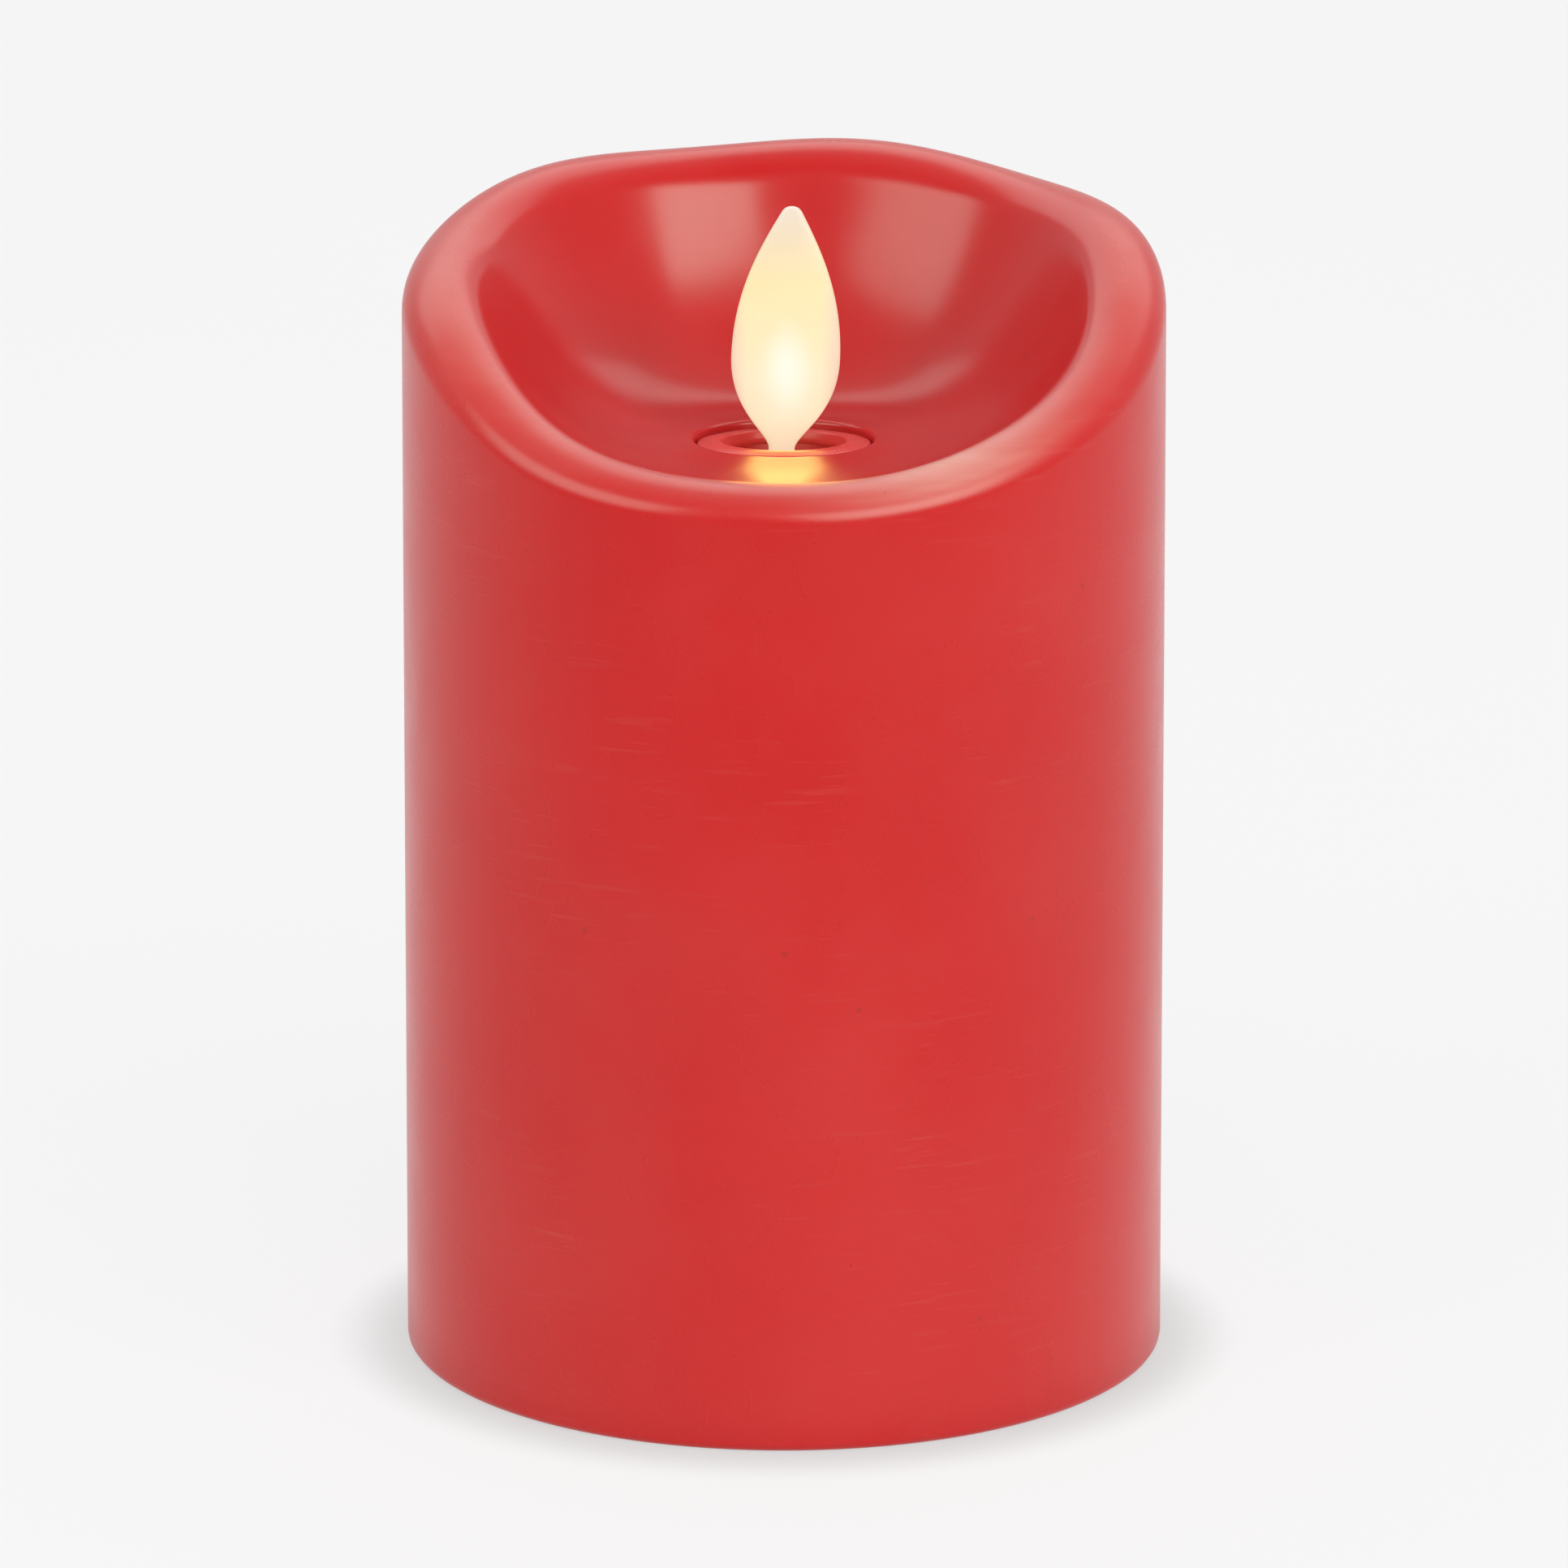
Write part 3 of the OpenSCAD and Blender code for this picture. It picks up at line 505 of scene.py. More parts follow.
def boardFinish(name):
    # green solder mask with tracks showing through as slightly paler raised lines
    material, tree, shader = newMaterial(name)
    place = objectPlace(tree)
    cells = addNode(tree, "ShaderNodeTexVoronoi", {"distance": "CHEBYCHEV", "feature": "DISTANCE_TO_EDGE"},
                    Vector=mappedPlace(tree, place, board["grid"]), Scale=1.0, Randomness=board["uneven"])
    track = mathNode(tree, "LESS_THAN", cells.outputs["Distance"], board["trackWidth"])
    tone = clouded(tree, place, board, (*board["colour"], 1))
    laid = mixColour(tree, times(tree, track, board["trackShare"]), tone, (*board["trackColour"], 1))
    sheen = noiseNode(tree, place, board["sheenScale"], detail=4.0)
    feed(shader, {"Base Color": laid, "Roughness": spread(tree, sheen, *board["rough"]),
                  "Normal": bumpNode(tree, track, board["strength"], board["depth"]),
                  "Coat Weight": board["coat"]})
    return material


sleeve = {
    "bareLow": 0.03, "bareHigh": 0.97, "bandFrom": 0.68,     # shares of the cell's height
    "dark": (0.025, 0.027, 0.03), "copper": (0.42, 0.2, 0.07), "bareColour": (0.72, 0.71, 0.69),
    "cloudScale": 160.0, "cloudAmount": 0.08,
    "speckScale": 900.0, "speckSize": 0.12, "speckCover": 0.08, "speckShare": 0.3,
    "speckColour": (0.4, 0.39, 0.37), "bandMetal": 0.5, "sheenScale": 260.0, "rough": (0.22, 0.36),
    "scratchScale": 240.0, "scratchWidth": 0.01, "scratchCover": 0.45, "scratchStrength": 0.5,
    "scratchDepth": 0.01 * mm,
}


def cellFinish(name, lowZ, highZ):
    # plain two-tone sleeve with bare metal at both ends
    material, tree, shader = newMaterial(name)
    place = objectPlace(tree)
    height = mapRange(tree, partOf(tree, place, "Z"), lowZ, highZ)
    bare = mathNode(tree, "ADD", mathNode(tree, "LESS_THAN", height, sleeve["bareLow"]),
                    mathNode(tree, "GREATER_THAN", height, sleeve["bareHigh"]), clamp=True)
    band = mathNode(tree, "GREATER_THAN", height, sleeve["bandFrom"])
    wrap = mixColour(tree, band, (*sleeve["dark"], 1), (*sleeve["copper"], 1))
    dusted, _ = speckled(tree, place, sleeve, clouded(tree, place, sleeve, wrap))
    sheen = noiseNode(tree, place, sleeve["sheenScale"], detail=4.0)
    feed(shader, {"Base Color": mixColour(tree, bare, dusted, (*sleeve["bareColour"], 1)),
                  "Metallic": mathNode(tree, "ADD", bare, times(tree, band, sleeve["bandMetal"]), clamp=True),
                  "Roughness": spread(tree, sheen, *sleeve["rough"]),
                  "Normal": scratched(tree, place, sleeve)})
    return material


# the wax pillar

pillar = {
    "steps": 288,            # sections round the pillar
    "footR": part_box("wax_shell")[1].x / mm,
    "draft": 0.33,           # degrees
    "rimMean": 107.5,
    "rimTilt": 10.9,         # the back of the rim is this much above its mean
    "sideLift": 2.3,
    # small waves from the pouring: times round the rim, cosine and sine heights
    "waves": ((3, 0.0, 0.15), (4, 0.4, 0.15), (5, 0.2, -0.1), (6, 0.0, 0.3)),
    "bowlZ": 92.4,
    "holeR": 8.8,
    "rimWidth": 4.5,         # from the crest out to the wall
    "outerDrop": 4.3,        # from the crest down to the wall
    "frontSharper": 1.1,     # the drop is this much less in front
    "lipFront": 2.6,         # radius of the inner roll of the rim at the front
    "lipBack": 5.4,          # and at the back
    "bowlPower": 2.4,
    "cavityR": 31.0,
    "ceilingZ": 85.4,
    "ceilingR": 20.0,
    "shoulderZ": 76.0,
    "beltEverywhere": 0.03,
    "beltPlaces": ((-63, 17, 0.48), (-130, 16, 0.03)),   # middle and spread in degrees, how pale
    "seatR": 33.0,
    "seatZ": 3.2,
    "footEdge": 0.9,
    "footFlat": 2.0,         # from the foot's rounding to the first point of its flat
    "seatEdge": 0.3,
    "holeEdge": 0.5,
    "lipBelt": 2.0,          # how far inside the crest the pale belt of bloom and painted sheen can reach
    "beltFrom": -0.25, "beltFull": 0.1, "beltFade": 0.2,   # shares of the rim's width
    # points along each stretch of a section
    "footSteps": 4, "wallSteps": 40, "crestSteps": 16, "lipSteps": 8, "bowlSteps": 32,
    "edgeSteps": 3, "ceilingSteps": 4, "hollowSteps": 12,
    "look": {
        "colour": (0.56, 0.0095, 0.012),
        # in the bowl the red is a little darker as painted shade, and green and blue are raised as a painted
        # haze of reflection
        "deepColour": (0.535, 0.021, 0.023),
        "deepR": 19.0 * mm, "shallowR": 29.5 * mm, "crestR": 33.5 * mm, "outsideR": 37.4 * mm,
        # pale colour of the bloom and scuffs, and of the painted sheen on the crest and the lip's belt
        "paleColour": (0.75, 0.42, 0.34), "crestBloomAndSheen": 0.09, "lipRough": 0.3,
        "speckColour": (0.28, 0.02, 0.02), "speckSize": 0.13, "speckCover": 0.02, "speckShare": 0.35,
        "streakSpan": (0.6, 0.74), "patchSpan": (0.47, 0.6), "bloomSpan": (0.42, 0.75),
        "crestLeast": 0.6, "fibreScale": 0.5, "fibreSpan": (0.75, 1.1), "rubRough": 0.05,
        "smearTwist": 0.6, "ringScale": 0.35, "rubStrength": 0.6, "pitStrength": 0.5,
        "depthReach": (1.0, 0.16, 0.12),     # red light travels furthest in the wax
        "cloudScale": 28.0, "cloudAmount": 0.025,
        "bloomScale": 40.0, "bloomAmount": 0.03,
        "aroundStretch": (110.0, 110.0, 1700.0), "patchScale": 32.0, "scuffColour": 0.035,
        "speckScale": 420.0, "smearScale": 75.0,
        "roughLow": 0.25, "roughHigh": 0.31, "bowlGloss": 0.8,
        "waveScale": 45.0, "waveHeight": 0.2 * mm, "ringHeight": 0.004 * mm, "scratchDepth": 0.002 * mm,
        "ior": 1.44, "shine": (0.4, 1.0, 0.85), "depthShare": 0.35, "depth": 2.5 * mm,
    },
}


def rimHeight(angle):
    height = pillar["rimMean"] + pillar["rimTilt"] * math.sin(angle)
    height += pillar["sideLift"] * math.cos(2 * angle)
    for count, cosine, sine in pillar["waves"]:
        height += cosine * math.cos(count * angle) + sine * math.sin(count * angle)
    return height


def rimDrop(angle):
    return pillar["outerDrop"] - pillar["frontSharper"] * max(0.0, -math.sin(angle)) ** 2


def wallR(height):
    return pillar["footR"] - height * math.tan(math.radians(pillar["draft"]))


def waxSection(angle):
    # an upright section of the wax: the foot, the outside, over the rim, down the bowl, the hollow
    top = rimHeight(angle)
    drop = rimDrop(angle)
    wallZ = top - drop
    wallTopR = wallR(wallZ)
    crestR = wallTopR - pillar["rimWidth"]
    holeR, bowlZ, holeEdge = pillar["holeR"], pillar["bowlZ"], pillar["holeEdge"]
    roll = mixed(pillar["lipFront"], pillar["lipBack"], (1 + math.sin(angle)) / 2)
    run = crestR - roll / 2 - holeR - holeEdge
    steep = (top - roll / 2 - bowlZ) * pillar["bowlPower"] / run
    lipTurn = math.atan(steep)      # the roll ends where it meets the bowl's own slope
    lipR = crestR - roll * math.sin(lipTurn)
    lipZ = top - roll * (1 - math.cos(lipTurn))
    edge = pillar["footEdge"]
    points = [(pillar["seatR"] + pillar["seatEdge"], 0.0),
              (pillar["footR"] - edge - pillar["footFlat"], 0.0)]
    points += arcPoints(pillar["footR"] - edge, edge, edge, -90, 0, pillar["footSteps"])
    points += straightRun((wallR(edge), edge), (wallTopR, wallZ), pillar["wallSteps"])
    for i in range(1, pillar["crestSteps"] + 1):
        turn = math.radians(90 * i / pillar["crestSteps"])
        points.append((wallTopR - pillar["rimWidth"] * (1 - math.cos(turn)), wallZ + drop * math.sin(turn)))
    for i in range(1, pillar["lipSteps"] + 1):
        turn = lipTurn * i / pillar["lipSteps"]
        points.append((crestR - roll * math.sin(turn), top - roll * (1 - math.cos(turn))))
    for i in range(1, pillar["bowlSteps"] + 1):
        share = 1 - i / pillar["bowlSteps"]
        points.append((mixed(holeR + holeEdge, lipR, share),
                       bowlZ + (lipZ - bowlZ) * share ** pillar["bowlPower"]))
    points += arcPoints(holeR + holeEdge, bowlZ - holeEdge, holeEdge, 100, 180, pillar["edgeSteps"])
    hollow = [(holeR, bowlZ - holeEdge), (holeR, pillar["ceilingZ"]),
              (pillar["ceilingR"], pillar["ceilingZ"]), (pillar["cavityR"], pillar["shoulderZ"])]
    for start, end in zip(hollow, hollow[1:]):
        points += straightRun(start, end, pillar["ceilingSteps"])
    points += straightRun(hollow[-1], (pillar["cavityR"], pillar["seatZ"]), pillar["hollowSteps"])
    return points + [(pillar["seatR"], pillar["seatZ"]), (pillar["seatR"], pillar["seatEdge"])]


def lipBeltPaleness(angle, share):
    # how pale the lip's belt of bloom and painted sheen is: share runs from the crest (0) out to the wall (1)
    turn = math.degrees(math.atan2(math.sin(angle), math.cos(angle)))
    amount = pillar["beltEverywhere"]
    for middle, spread, extra in pillar["beltPlaces"]:
        amount += extra * math.exp(-((turn - middle) / spread) ** 2)
    inner = clamped((share - pillar["beltFrom"]) / (pillar["beltFull"] - pillar["beltFrom"]))
    return amount * inner * clamped((1.0 - share) / pillar["beltFade"])


def makePillar():
    # a flat grid rolled into a ring of sections, its two seams closed
    bm = bmesh.new()
    count = len(waxSection(0.0))
    bmesh.ops.create_grid(bm, x_segments=pillar["steps"], y_segments=count, size=0.5)
    sections = [waxSection(fullTurn * i / pillar["steps"]) for i in range(pillar["steps"])]
    lipBloomAndSheen = bm.verts.layers.float.new("lipBloomAndSheen")
    for vert in bm.verts:
        column = round((vert.co.x + 0.5) * pillar["steps"]) % pillar["steps"]
        row = round((vert.co.y + 0.5) * count) % count
        angle = fullTurn * column / pillar["steps"]
        radius, height = sections[column][row]
        vert.co = Vector((radius * math.cos(angle), radius * math.sin(angle), height)) * mm
        crestR = wallR(rimHeight(angle)) - pillar["rimWidth"]
        if height > rimHeight(angle) - rimDrop(angle) and radius > crestR - pillar["lipBelt"]:
            vert[lipBloomAndSheen] = lipBeltPaleness(angle, (radius - crestR) / pillar["rimWidth"])
    bmesh.ops.remove_doubles(bm, verts=bm.verts[:], dist=weld)
    return finishPiece(bm, "waxPillar", ["wax_shell"], waxFinish("redWax", pillar["look"]))


makePillar()
print("wax pillar made")


# the collar round the flame's hole

collar = {
    "steps": 192,
    "topZ": 91.75, "crown": 0.2, "outerR": 8.6, "holeR": 5.9, "flange": 1.2,
    "skirtR": 8.3, "skirtBoreR": 7.1, "skirtZ": 85.4, "edge": 0.3, "lip": 0.35,
    "crownIn": 1.3, "crownSteps": 8, "edgeSteps": 5, "lipSteps": 6,
    "slope": 0.05,           # the top stands higher at the front
    "lift": 0.2,
    "uneven": 0.05, "unevenScale": 260, "blend": 0.8,    # height over which the slope sets in
    "look": {
        "deepColour": (0.68, 0.06, 0.058), "cloudScale": 90.0, "roughLow": 0.3, "roughHigh": 0.45,
        "waveScale": 160.0, "waveHeight": 0.1 * mm, "depthShare": 0.3, "depth": 1.2 * mm,
    },
}


def makeCollar():
    bm = bmesh.new()
    top, crown, edge, lip = collar["topZ"], collar["crown"], collar["edge"], collar["lip"]
    under = top - collar["flange"]
    points = [(collar["holeR"], under), (collar["skirtBoreR"], under),
              (collar["skirtBoreR"], collar["skirtZ"]), (collar["skirtR"], collar["skirtZ"]),
              (collar["skirtR"], under), (collar["outerR"], under)]
    points += arcPoints(collar["outerR"] - edge, top - edge, edge, 0, 80, collar["edgeSteps"])
    for i in range(1, collar["crownSteps"] + 1):
        share = i / collar["crownSteps"]
        points.append((mixed(collar["outerR"] - edge * 1.4, collar["holeR"] + collar["crownIn"], share),
                       top + crown * math.sin(share * math.pi / 2)))
    points += arcPoints(collar["holeR"] + lip * 1.6, top + crown - lip, lip, 90, 180, collar["lipSteps"])
    points += [(collar["holeR"], top + crown - lip * 2)]
    turnProfile(bm, points, collar["steps"], closed=True)
    bmesh.ops.recalc_face_normals(bm, faces=bm.faces[:])
    for vert in bm.verts:
        # the ring was set by hand, so its top slopes a little and is not quite even
        share = clamped((vert.co.z / mm - under) / collar["blend"])
        vert.co.z += share * (collar["lift"] * mm - collar["slope"] * vert.co.y)
        vert.co.z += share * collar["uneven"] * mm * noise.noise(vert.co * collar["unevenScale"])
    look = {**pillar["look"], **collar["look"]}
    return finishPiece(bm, "collarRing", ["wick_collar"], waxFinish("collarRed", look), outward=False)


makeCollar()
print("collar made")


# the flame with its stem, tail, eye and magnet cup

flame = {
    "width": 10.7, "stemW": 2.57, "stemTopZ": 91.3, "wideZ": 100.4, "topZ": 115.5, "tipR": 1.15,
    "tipTurn": 26,           # degrees on the round tip where the sides meet it
    "lean": 2.5,             # degrees, over the upright tail
    "bladeX": -0.25,
    "thick": 1.2, "belly": 0.35, "thinnest": 0.12, "sides": 40,
    "lowSteps": 34, "highSteps": 40, "tipSteps": 12,
    "stemEase": 1.5, "wideEase": 5.6, "sideEase": (0.42, 0.72), "tipEase": 0.62,
    "acrossPower": 0.72, "throughPower": 0.55,   # how square a level section is
    "stemFoot": 1.2, "stemNeck": 1.0, "leanBelow": 0.3, "bladeBlend": 3,
    "tailW": 3.0, "tailBottomZ": 76.5, "pivotZ": 87.5, "eyeR": 0.35, "eyeRimR": 2.0,
    "tailGap": 1.6, "tailEdge": 0.25,
    "innerEdge": 0.1, "outerEdge": 0.2, "eyeSteps": 48, "cupSteps": 64, "cupEdge": 0.15, "cupSlope": 0.4,
    "cupR": 3.5, "cupZ": 73.1, "cupH": 3.8, "magnetR": 3.0, "magnetH": 3.0, "shift": -0.15,
    "look": {
        "colour": (0.45, 0.37, 0.28),
        "shadeColour": (0.5, 0.36, 0.2),
        "lowZ": 91.3 * mm, "highZ": 115.5 * mm,
        "glowStops": ((0.0, (0.52, 0.42, 0.28)), (0.12, (0.62, 0.55, 0.36)), (0.3, (0.66, 0.59, 0.38)),
                      (0.5, (0.63, 0.55, 0.28)), (0.68, (0.57, 0.5, 0.2)), (0.84, (0.46, 0.42, 0.24)),
                      (1.0, (0.4, 0.4, 0.36))),
        "edgeShadeColour": (0.46, 0.36, 0.29), "rimStart": 3.4 * mm, "rimEnd": 5.3 * mm,
        "hotX": 0.3 * mm, "hotZ": 99.2 * mm, "hotSquash": 0.55, "hotReach": 3.4 * mm,
        "hotColour": (0.74, 0.72, 0.62),
        "mirrored": (3.3, 1.95, 0.44), "glow": 0.96, "ior": 1.46, "rough": (0.42, 0.56),
        "edgeShadeShare": 0.7, "shadeShare": 0.06, "grainScale": 800.0, "grainStrength": 0.25,
        "grainDepth": 0.01 * mm, "cloudScale": 300.0, "cloudAmount": 0.03,
    },
}


def curveAt(a, b, c, d, share):
    rest = 1 - share
    return rest ** 3 * a + 3 * share * rest ** 2 * b + 3 * share ** 2 * rest * c + share ** 3 * d


def flameHalf():
    # (height, half width) pairs from the stem to the tip
    half, stem = flame["width"] / 2, flame["stemW"] / 2
    low, wide, tipR = flame["stemTopZ"], flame["wideZ"], flame["tipR"]
    tipZ = flame["topZ"] - tipR
    join = math.radians(flame["tipTurn"])
    rise = tipZ + tipR * math.sin(join) - wide
    lowEase, highEase = flame["sideEase"]
    pairs = []
    for i in range(flame["lowSteps"]):
        share = i / flame["lowSteps"]
        pairs.append((curveAt(low, low + flame["stemEase"], wide - flame["wideEase"], wide, share),
                      curveAt(stem, stem, half, half, share)))
    for i in range(flame["highSteps"] + 1):
        share = i / flame["highSteps"]
        pairs.append((curveAt(wide, wide + rise * lowEase, wide + rise * highEase, wide + rise, share),
                      curveAt(half, half, half * flame["tipEase"], tipR * math.cos(join), share)))
    for i in range(1, flame["tipSteps"]):
        turn = mixed(join, fullTurn / 4, i / flame["tipSteps"])
        pairs.append((tipZ + tipR * math.sin(turn), tipR * math.cos(turn)))
    return pairs


def sectionRing(bm, height, halfWidth, halfThick):
    # a thin section with round edges: a circle pressed flat
    ring = bmesh.ops.create_circle(bm, segments=flame["sides"], radius=1.0)["verts"]
    for vert in ring:
        turn = math.atan2(vert.co.y, vert.co.x)
        across = math.copysign(abs(math.cos(turn)) ** flame["acrossPower"], math.cos(turn))
        through = math.copysign(abs(math.sin(turn)) ** flame["throughPower"], math.sin(turn))
        vert.co = Vector((across * halfWidth, through * halfThick, height)) * mm
    return ring


def loft(bm, rings):
    for first, second in zip(rings, rings[1:]):
        for i in range(len(first)):
            j = (i + 1) % len(first)
            bm.faces.new((first[i], first[j], second[j], second[i]))


def makeFlame():
    bm = bmesh.new()
    low, half = flame["stemTopZ"], flame["stemW"] / 2
    stations = [(flame["pivotZ"] + flame["stemFoot"], half), (low - flame["stemNeck"], half)] + flameHalf()
    rings = []
    for height, half in stations:
        share = clamped((height - low) / (flame["topZ"] - low))
        thick = flame["thick"] / 2 + flame["belly"] * math.sin(math.pi * share) * (half * 2 / flame["width"])
        rings.append(sectionRing(bm, height, half, min(thick, max(half, flame["thinnest"]))))
    loft(bm, rings)
    bm.faces.new(rings[0])
    bmesh.ops.pointmerge(bm, verts=rings[-1], merge_co=(0, 0, flame["topZ"] * mm))
    lean = Matrix.Rotation(math.radians(flame["lean"]), 4, "Y")
    foot = Vector((0, 0, (low - flame["leanBelow"]) * mm))
    for vert in bm.verts:
        if vert.co.z > foot.z:
            vert.co = foot + lean @ (vert.co - foot)
        share = clamped((vert.co.z / mm - flame["pivotZ"]) / flame["bladeBlend"])
        vert.co.x += flame["bladeX"] * mm * share
    addTail(bm)
    return finishPiece(bm, "flameSheet", ["flame_plate"], flameFinish("litIvory", flame["look"]), 50)


def addTail(bm):
    # flat tail, the eye that runs on the wire, and the cup that holds the magnet
    tailTop, tailLow = flame["pivotZ"] - flame["tailGap"], flame["tailBottomZ"]
    tail = bmesh.ops.create_cube(bm, size=1.0)["verts"]
    size = Vector((flame["tailW"], flame["thick"], tailTop - tailLow)) * mm
    bmesh.ops.scale(bm, vec=size, verts=tail)
    bmesh.ops.translate(bm, vec=(0, 0, (tailTop + tailLow) / 2 * mm), verts=tail)
    edges = list({edge for vert in tail for edge in vert.link_edges})
    bmesh.ops.bevel(bm, geom=edges, offset=flame["tailEdge"] * mm, segments=3, profile=0.5,
                    affect="EDGES", material=-1, clamp_overlap=True)
    half, boreR, rimR = flame["thick"] / 2, flame["eyeR"], flame["eyeRimR"]
    inner, outer = flame["innerEdge"], flame["outerEdge"]
    ring = [(boreR, -half + inner), (boreR + inner, -half), (rimR - outer, -half), (rimR, -half + outer),
            (rimR, half - outer), (rimR - outer, half), (boreR + inner, half), (boreR, half - inner)]
    turnProfile(bm, ring, flame["eyeSteps"], closed=True, centre=(0, 0, flame["pivotZ"] * mm),
                turned=Matrix.Rotation(math.radians(90), 4, "X"))
    cupR, cupH, edge, slope = flame["cupR"], flame["cupH"], flame["cupEdge"], flame["cupSlope"]
    cup = [(flame["magnetR"], 0.0), (cupR - edge, 0.0), (cupR, edge), (cupR, cupH - slope),
           (cupR - slope, cupH), (0.0, cupH), (0.0, flame["magnetH"]), (flame["magnetR"], flame["magnetH"])]
    turnProfile(bm, cup, flame["cupSteps"], closed=True,
                centre=(flame["shift"] * mm, 0, flame["cupZ"] * mm))


makeFlame()
print("flame made")


# cells, with a rolled shoulder and a raised button

cell = {
    "steps": 96, "edgeSteps": 5, "wallSteps": 10, "nubSteps": 3,
    "shoulder": 0.7, "nubR": 2.75, "nubL": 1.0, "groove": 0.35, "nubEdge": 0.35,
    "flatShare": 0.72, "bottomShare": 0.76, "grooveShare": 0.7,      # shares of the cell's radius
    "bottomStep": 0.12, "nubSeat": 0.6, "seatDrop": 0.1, "nubStep": 0.15,
}


def makeCell(node, piece, flipped):
    low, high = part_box(node)
    centre = (low + high) / 2
    radius = (high.x - low.x) / 2 / mm
    length = (high.z - low.z) / mm
    body = length - cell["nubL"]
    edge, nubR, nubEdge = cell["shoulder"], cell["nubR"], cell["nubEdge"]
    flatR = radius * cell["flatShare"]
    points = [(0.0, 0.0), (flatR, 0.0), (radius * cell["bottomShare"], cell["bottomStep"])]
    points += arcPoints(radius - edge, edge, edge, -90, 0, cell["edgeSteps"])
    points += straightRun((radius, edge), (radius, body - edge), cell["wallSteps"])[:-1]
    points += arcPoints(radius - edge, body - edge, edge, 0, 90, cell["edgeSteps"])
    points += [(flatR, body), (radius * cell["grooveShare"], body - cell["groove"]),
               (nubR + cell["nubSeat"], body - cell["seatDrop"]), (nubR, body + cell["nubStep"]),
               (nubR, length - nubEdge)]
    points += arcPoints(nubR - nubEdge, length - nubEdge, nubEdge, 30, 90, cell["nubSteps"])
    points += [(0.0, length)]
    bm = bmesh.new()
    turn = Matrix.Rotation(math.pi, 4, "X") if flipped else Matrix.Identity(4)
    bottom, button = (high.z, low.z) if flipped else (low.z, high.z)
    turnProfile(bm, points, cell["steps"], centre=(centre.x, centre.y, bottom), turned=turn)
    return finishPiece(bm, piece, [node], cellFinish(piece + "Sleeve", bottom, button), 40)


makeCell("battery_left", "cellLeft", False)
makeCell("battery_right", "cellRight", True)
print("cells made")


# the coil's winding, layers of round copper wire

winding = {
    "turnsHigh": 14, "perWire": 5, "steps": 96, "bulge": 0.18, "inner": 2.6, "outer": 6.7,
    "colour": (0.78, 0.33, 0.13), "rough": 0.3, "stretch": (400.0, 400.0, 3000.0), "tarnish": 0.2,
    "dullColour": (0.35, 0.12, 0.05),
}


def makeWinding():
    low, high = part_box("coil_winding")
    height = (high.z - low.z) / mm
    pitch = height / winding["turnsHigh"]
    neck = winding["outer"] - winding["bulge"]
    points = [(winding["inner"], height), (winding["inner"], 0.0)]
    for i in range(winding["turnsHigh"]):
        for k in range(winding["perWire"]):
            share = (k + 0.5) / winding["perWire"]
            points.append((neck + winding["bulge"] * math.sin(math.pi * share), (i + share) * pitch))
    bm = bmesh.new()
    turnProfile(bm, points + [(neck, height)], winding["steps"], closed=True, centre=(0, 0, low.z))
    copper = metalFinish("enamelledCopper", winding["colour"], winding["rough"], winding["stretch"],
                         winding["tarnish"], winding["dullColour"])
    return finishPiece(bm, "copperWinding", ["coil_winding"], copper, 60)


makeWinding()
print("winding made")


# conical springs, round wire carried round and up

spring = {
    "turns": 4, "perTurn": 48, "wireR": 0.35, "sides": 14,
    "plateThick": 0.4, "plateEdge": 0.1, "plateSteps": 64, "tabThick": 1, "tabWide": 2, "tabShort": 0.1,
}


def makeSpring(node, piece, cellNode, lowR, highR, plateR, finish):
    # a coil in line with its cell; the one above a cell hangs from a round plate
    low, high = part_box(node)
    cellLow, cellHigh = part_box(cellNode)
    wireR, thick = spring["wireR"], spring["plateThick"]
    centre = (cellLow + cellHigh) / 2
    centre.z = cellHigh.z if plateR else low.z
    bm = bmesh.new()
    ring = bmesh.ops.create_circle(bm, segments=spring["sides"], radius=wireR * mm)["verts"]
    bmesh.ops.rotate(bm, verts=ring, cent=(0, 0, 0), matrix=Matrix.Rotation(math.radians(90), 3, "X"))
    rise = (high.z - centre.z) / mm - (thick if plateR else 0.0) - 2 * wireR
    steps = spring["turns"] * spring["perTurn"]
    bmesh.ops.translate(bm, vec=(lowR * mm, 0, wireR * mm), verts=ring)
    edges = list({edge for vert in ring for edge in vert.link_edges})
    bmesh.ops.spin(bm, geom=ring + edges, cent=(0, 0, 0), axis=(0, 0, 1), dvec=(0, 0, rise * mm / steps),
                   angle=fullTurn * spring["turns"], steps=steps, use_merge=False, use_duplicate=False)
    for vert in bm.verts:
        flat = Vector((vert.co.x, vert.co.y, 0))
        flat += flat.normalized() * (highR - lowR) * clamped((vert.co.z / mm - wireR) / rise) * mm
        vert.co = Vector((flat.x, flat.y, vert.co.z))
    bmesh.ops.holes_fill(bm, edges=[edge for edge in bm.edges if edge.is_boundary], sides=0)
    bmesh.ops.translate(bm, vec=centre, verts=bm.verts[:])
    if plateR:
        bevel = spring["plateEdge"]
        plate = [(0.0, 0.0), (plateR - bevel, 0.0), (plateR, bevel), (plateR, thick - bevel),
                 (plateR - bevel, thick), (0.0, thick)]
        turnProfile(bm, plate, spring["plateSteps"], centre=(centre.x, centre.y, high.z - thick * mm))
        tabThick = spring["tabThick"] * mm
        tab = bmesh.ops.create_cube(bm, size=1.0)["verts"]
        tall = high.z - low.z - spring["tabShort"] * mm
        bmesh.ops.scale(bm, vec=(tabThick, spring["tabWide"] * mm, tall), verts=tab)
        bmesh.ops.translate(bm, vec=(high.x - tabThick / 2, centre.y, (high.z + low.z) / 2), verts=tab)
    return finishPiece(bm, piece, [node], finish, 50)


nickel = metalFinish("nickelContact", (0.78, 0.77, 0.73), 0.22)
